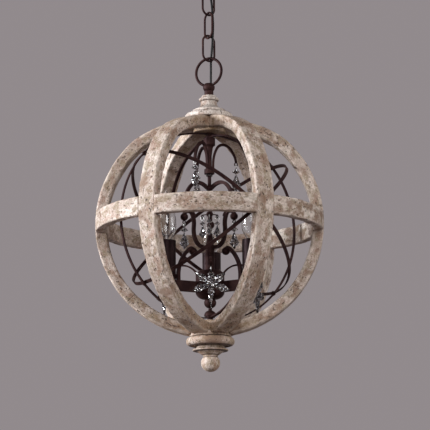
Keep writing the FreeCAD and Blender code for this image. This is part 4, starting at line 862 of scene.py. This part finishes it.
class CHANDELIER_OT_candles(bpy.types.Operator):
    """Sleeves, sockets, screw caps and clear bulbs with their glass mounts and filaments"""
    bl_idname = "chandelier.candles"
    bl_label = "Candles"

    def execute(self, context):
        looks = context.scene.chandelier_looks
        sleeve = metal_material("candle_sleeve", looks.sleeve, cloud=(0.018, 0.009, 0.009), scuff=(0.05, 0.035, 0.03),
                                smooth=0.30, metallic=0.0, relief_depth=0.2 * MM)
        shell = metal_material("socket_shell", base=(0.02, 0.02, 0.02), cloud=(0.03, 0.03, 0.03),
                               scuff=(0.06, 0.06, 0.06), smooth=0.35, metallic=0.0, relief_depth=0.1 * MM)
        brass = metal_material("brass_cap", base=(0.62, 0.47, 0.22), cloud=(0.70, 0.56, 0.30), scuff=(0.8, 0.7, 0.45),
                               smooth=0.18, metallic=1.0, relief_depth=0.1 * MM)
        wire = metal_material("filament_wire", base=(0.30, 0.29, 0.28), cloud=(0.42, 0.41, 0.40), scuff=(0.6, 0.6, 0.6),
                              smooth=0.25, metallic=1.0, relief_depth=0.02 * MM)
        clear = glass_material("bulb_glass", (0.98, 0.98, 0.97), ior=1.6, smudge=0.03)
        dress(sleeve, "candle_sleeves")
        dress(shell, "candle_sockets", "cord_grommet")
        dress(brass, "bulb_bases")
        dress(clear, "bulb_glasses")
        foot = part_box("bulb_glasses")[0].z - CENTRE[2]
        mounts, filaments = [], []
        for number, turn in enumerate(CANDLE_TURNS):
            middle = CENTRE + CANDLE_REACH * np.array([math.cos(turn), math.sin(turn), 0.0])
            mounts.append(self.bulb_mount(number, middle, foot, clear))
            filaments.append(self.bulb_filament(number, middle, foot, turn, wire))
        mount, filament = joined("bulb_mounts", mounts), joined("bulb_filaments", filaments)
        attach(mount, "globe")
        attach(filament, "globe")
        return {"FINISHED"}

    @staticmethod
    def bulb_mount(number, middle, foot, material):
        """A turned stem of glass: foot's radius - taper * (1.5 * share) ** 0.6, and a bell curve for its bulge."""
        share = np.linspace(0.0, 1.0, 25)
        bulge = MOUNT_BULGE * MM * np.exp(-((share - BULGE_AT) / BULGE_WIDTH) ** 2)
        radii = (MOUNT_FOOT - MOUNT_TAPER * np.clip(share * 1.5, 0.0, 1.0) ** 0.6) * MM + bulge
        return lathe("bulb_mount_%d" % number, radii, foot + MOUNT_LIFT + share * MOUNT_HEIGHT, middle, material,
                     sides=20)

    @staticmethod
    def bulb_filament(number, middle, foot, turn, material):
        """A wire square to the arm, its height low + rise * (1 - step ** 2) ** 0.35 for steps from -1 to 1."""
        steps = np.linspace(-1.0, 1.0, 61)
        arch = foot + (FILAMENT_LOW + FILAMENT_RISE * np.sqrt(np.clip(1.0 - steps ** 2, 0.0, 1.0)) ** 0.7) * MM
        line = middle + steps[:, None] * FILAMENT_HALF * np.array([-math.sin(turn), math.cos(turn), 0.0])
        line[:, 2] = CENTRE[2] + arch
        return tube("bulb_filament_%d" % number, line, FILAMENT_R, material, sides=8)


class CHANDELIER_OT_crystals(bpy.types.Operator):
    """Cut glass of the pendants and the stem's bead, with bright wire rings"""
    bl_idname = "chandelier.crystals"
    bl_label = "Crystals"

    def execute(self, context):
        cut = glass_material("cut_glass", (0.99, 0.99, 1.0), ior=2.15, smudge=0.02, facets=330.0)
        bright = metal_material("bright_wire", base=(0.55, 0.54, 0.52), cloud=(0.66, 0.65, 0.63), scuff=(0.8, 0.8, 0.8),
                                smooth=0.15, metallic=1.0, relief_depth=0.02 * MM)
        turn = circle(28)[:, None]
        dress(cut, "stem_bead")
        for joint in frame["joints"]:
            if not joint["name"].startswith("crystal_"):
                continue
            body = joint["child"]
            node = body[:-len("_body")]
            dress(cut, node)
            ahead = np.cross(UP, np.array(joint["axis"], float))
            line = np.array(joint["pos_m"]) + JUMP_RING_R * (np.cos(turn) * ahead + np.sin(turn) * UP)
            ring = tube(node + "_ring", line, JUMP_WIRE_R, bright, sides=10, closed=True)
            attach(ring, body)
        return {"FINISHED"}


def cord_jacket():
    """Black jacket with a faint worn grain."""
    material, tree, principled = new_material("cord_jacket")
    fine = grained(tree, own_grain(tree), along=900.0, across=500.0, detail=3.0, roughness=0.6)
    tree.links.new(mixed(tree, stepped(tree, fine, 0.3, 0.75), CORD_BLACK, CORD_WORN), principled["Base Color"])
    tree.links.new(worked(tree, "MULTIPLY_ADD", fine, 0.3, 0.45), principled["Roughness"])
    principled["Specular IOR Level"].default_value = 0.25
    relief(tree, principled, fine, 0.08 * MM)
    return material


def clear_earth_wire():
    """Twisted strands seen through a clear, shiny jacket, their shade and highlights painted in diagonal bands."""
    material, tree, principled = new_material("clear_earth_wire")
    strand = place(tree, "ShaderNodeTexWave", {
        "Vector": stretched(tree, own_grain(tree), (1.0, 0.35, 0.0)), "Scale": 160.0},
        bands_direction="DIAGONAL").outputs[0]
    # Painted shade and highlight of the twisted strands, in diagonal bands
    tree.links.new(mixed(tree, strand, STRAND_PAINTED_SHADE, STRAND_PAINTED_HIGHLIGHT), principled["Base Color"])
    tree.links.new(worked(tree, "MULTIPLY_ADD", strand, 0.1, 0.2), principled["Roughness"])
    principled["Coat Weight"].default_value = 0.8
    return material


def route_line(name, route):
    """Points along the smooth NURBS line through the route."""
    curve = bpy.data.curves.new(name + "_route", "CURVE")
    curve.dimensions = "3D"
    spline = curve.splines.new("NURBS")
    spline.points.add(len(route) - 1)
    spline.points.foreach_set("co", np.hstack([route, np.ones((len(route), 1))]).ravel())
    spline.order_u = 3
    spline.use_endpoint_u = True
    spline.resolution_u = 24
    holder = bpy.data.objects.new(name + "_route", curve)
    line = bpy.data.meshes.new_from_object(holder)
    points = np.zeros(len(line.vertices) * 3)
    line.vertices.foreach_get("co", points)
    bpy.data.objects.remove(holder)
    bpy.data.curves.remove(curve)
    bpy.data.meshes.remove(line)
    return points.reshape(-1, 3)


class CHANDELIER_OT_cords(bpy.types.Operator):
    """The supply cord and its clear earth wire, in four stretches cut at set heights along the chain"""
    bl_idname = "chandelier.cords"
    bl_label = "Supply cord"

    def execute(self, context):
        side = np.array([math.cos(EARTH_TURN), math.sin(EARTH_TURN), 0.0]) * EARTH_OFF
        wires = (("cord", route_line("cord", CORD_ROUTE), CORD_R, cord_jacket()),
                 ("earth", route_line("earth", CORD_ROUTE + side), EARTH_R, clear_earth_wire()))
        for number in range(4):
            node = "supply_cord_%d" % (number + 1)
            for kind, line, radius, material in wires:
                piece = tube("%s_%d" % (kind, number + 1), self.stretch(line, number), radius, material, sides=14)
                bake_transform(piece)
                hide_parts(node)
        return {"FINISHED"}

    @staticmethod
    def stretch(line, number):
        """The part of the line between two cuts, its ends placed on the cuts."""
        low = CORD_CUTS[number - 1] if number else line[0, 2]
        high = CORD_CUTS[number] if number < len(CORD_CUTS) else line[-1, 2]
        inside = line[(line[:, 2] > low + CUT_CLEAR) & (line[:, 2] < high - CUT_CLEAR)]
        ends = [np.array([np.interp(z, line[:, 2], line[:, axis]) for axis in (0, 1)] + [z]) for z in (low, high)]
        return np.vstack([ends[0], inside, ends[1]])


OPERATORS = (CHANDELIER_OT_stage, CHANDELIER_OT_ribs, CHANDELIER_OT_ring, CHANDELIER_OT_turnings,
             CHANDELIER_OT_ironwork, CHANDELIER_OT_candles, CHANDELIER_OT_crystals, CHANDELIER_OT_cords)


class CHANDELIER_PT_panel(bpy.types.Panel):
    """Sizes, colours and buttons of the chandelier"""
    bl_idname = "CHANDELIER_PT_panel"
    bl_label = "Chandelier"
    bl_space_type = "VIEW_3D"
    bl_region_type = "UI"
    bl_category = "Chandelier"

    def draw(self, context):
        for settings in (context.scene.chandelier_looks, context.scene.chandelier_view):
            for name in settings.bl_rna.properties.keys():
                if name not in ("rna_type", "name"):
                    self.layout.prop(settings, name)
        for operator in OPERATORS:
            self.layout.operator(operator.bl_idname)


CLASSES = (ChandelierLooks, ChandelierView, CHANDELIER_PT_panel) + OPERATORS


def register():
    for each in CLASSES:
        bpy.utils.register_class(each)
    bpy.types.Scene.chandelier_looks = bpy.props.PointerProperty(type=ChandelierLooks)
    bpy.types.Scene.chandelier_view = bpy.props.PointerProperty(type=ChandelierView)


def unregister():
    del bpy.types.Scene.chandelier_view
    del bpy.types.Scene.chandelier_looks
    for each in reversed(CLASSES):
        bpy.utils.unregister_class(each)


def main():
    register()
    weathered_wood()
    mottled_metal()
    for step in (bpy.ops.chandelier.stage, bpy.ops.chandelier.ribs, bpy.ops.chandelier.ring,
                 bpy.ops.chandelier.turnings, bpy.ops.chandelier.ironwork, bpy.ops.chandelier.candles,
                 bpy.ops.chandelier.crystals, bpy.ops.chandelier.cords):
        step()


if __name__ == "__main__":
    main()
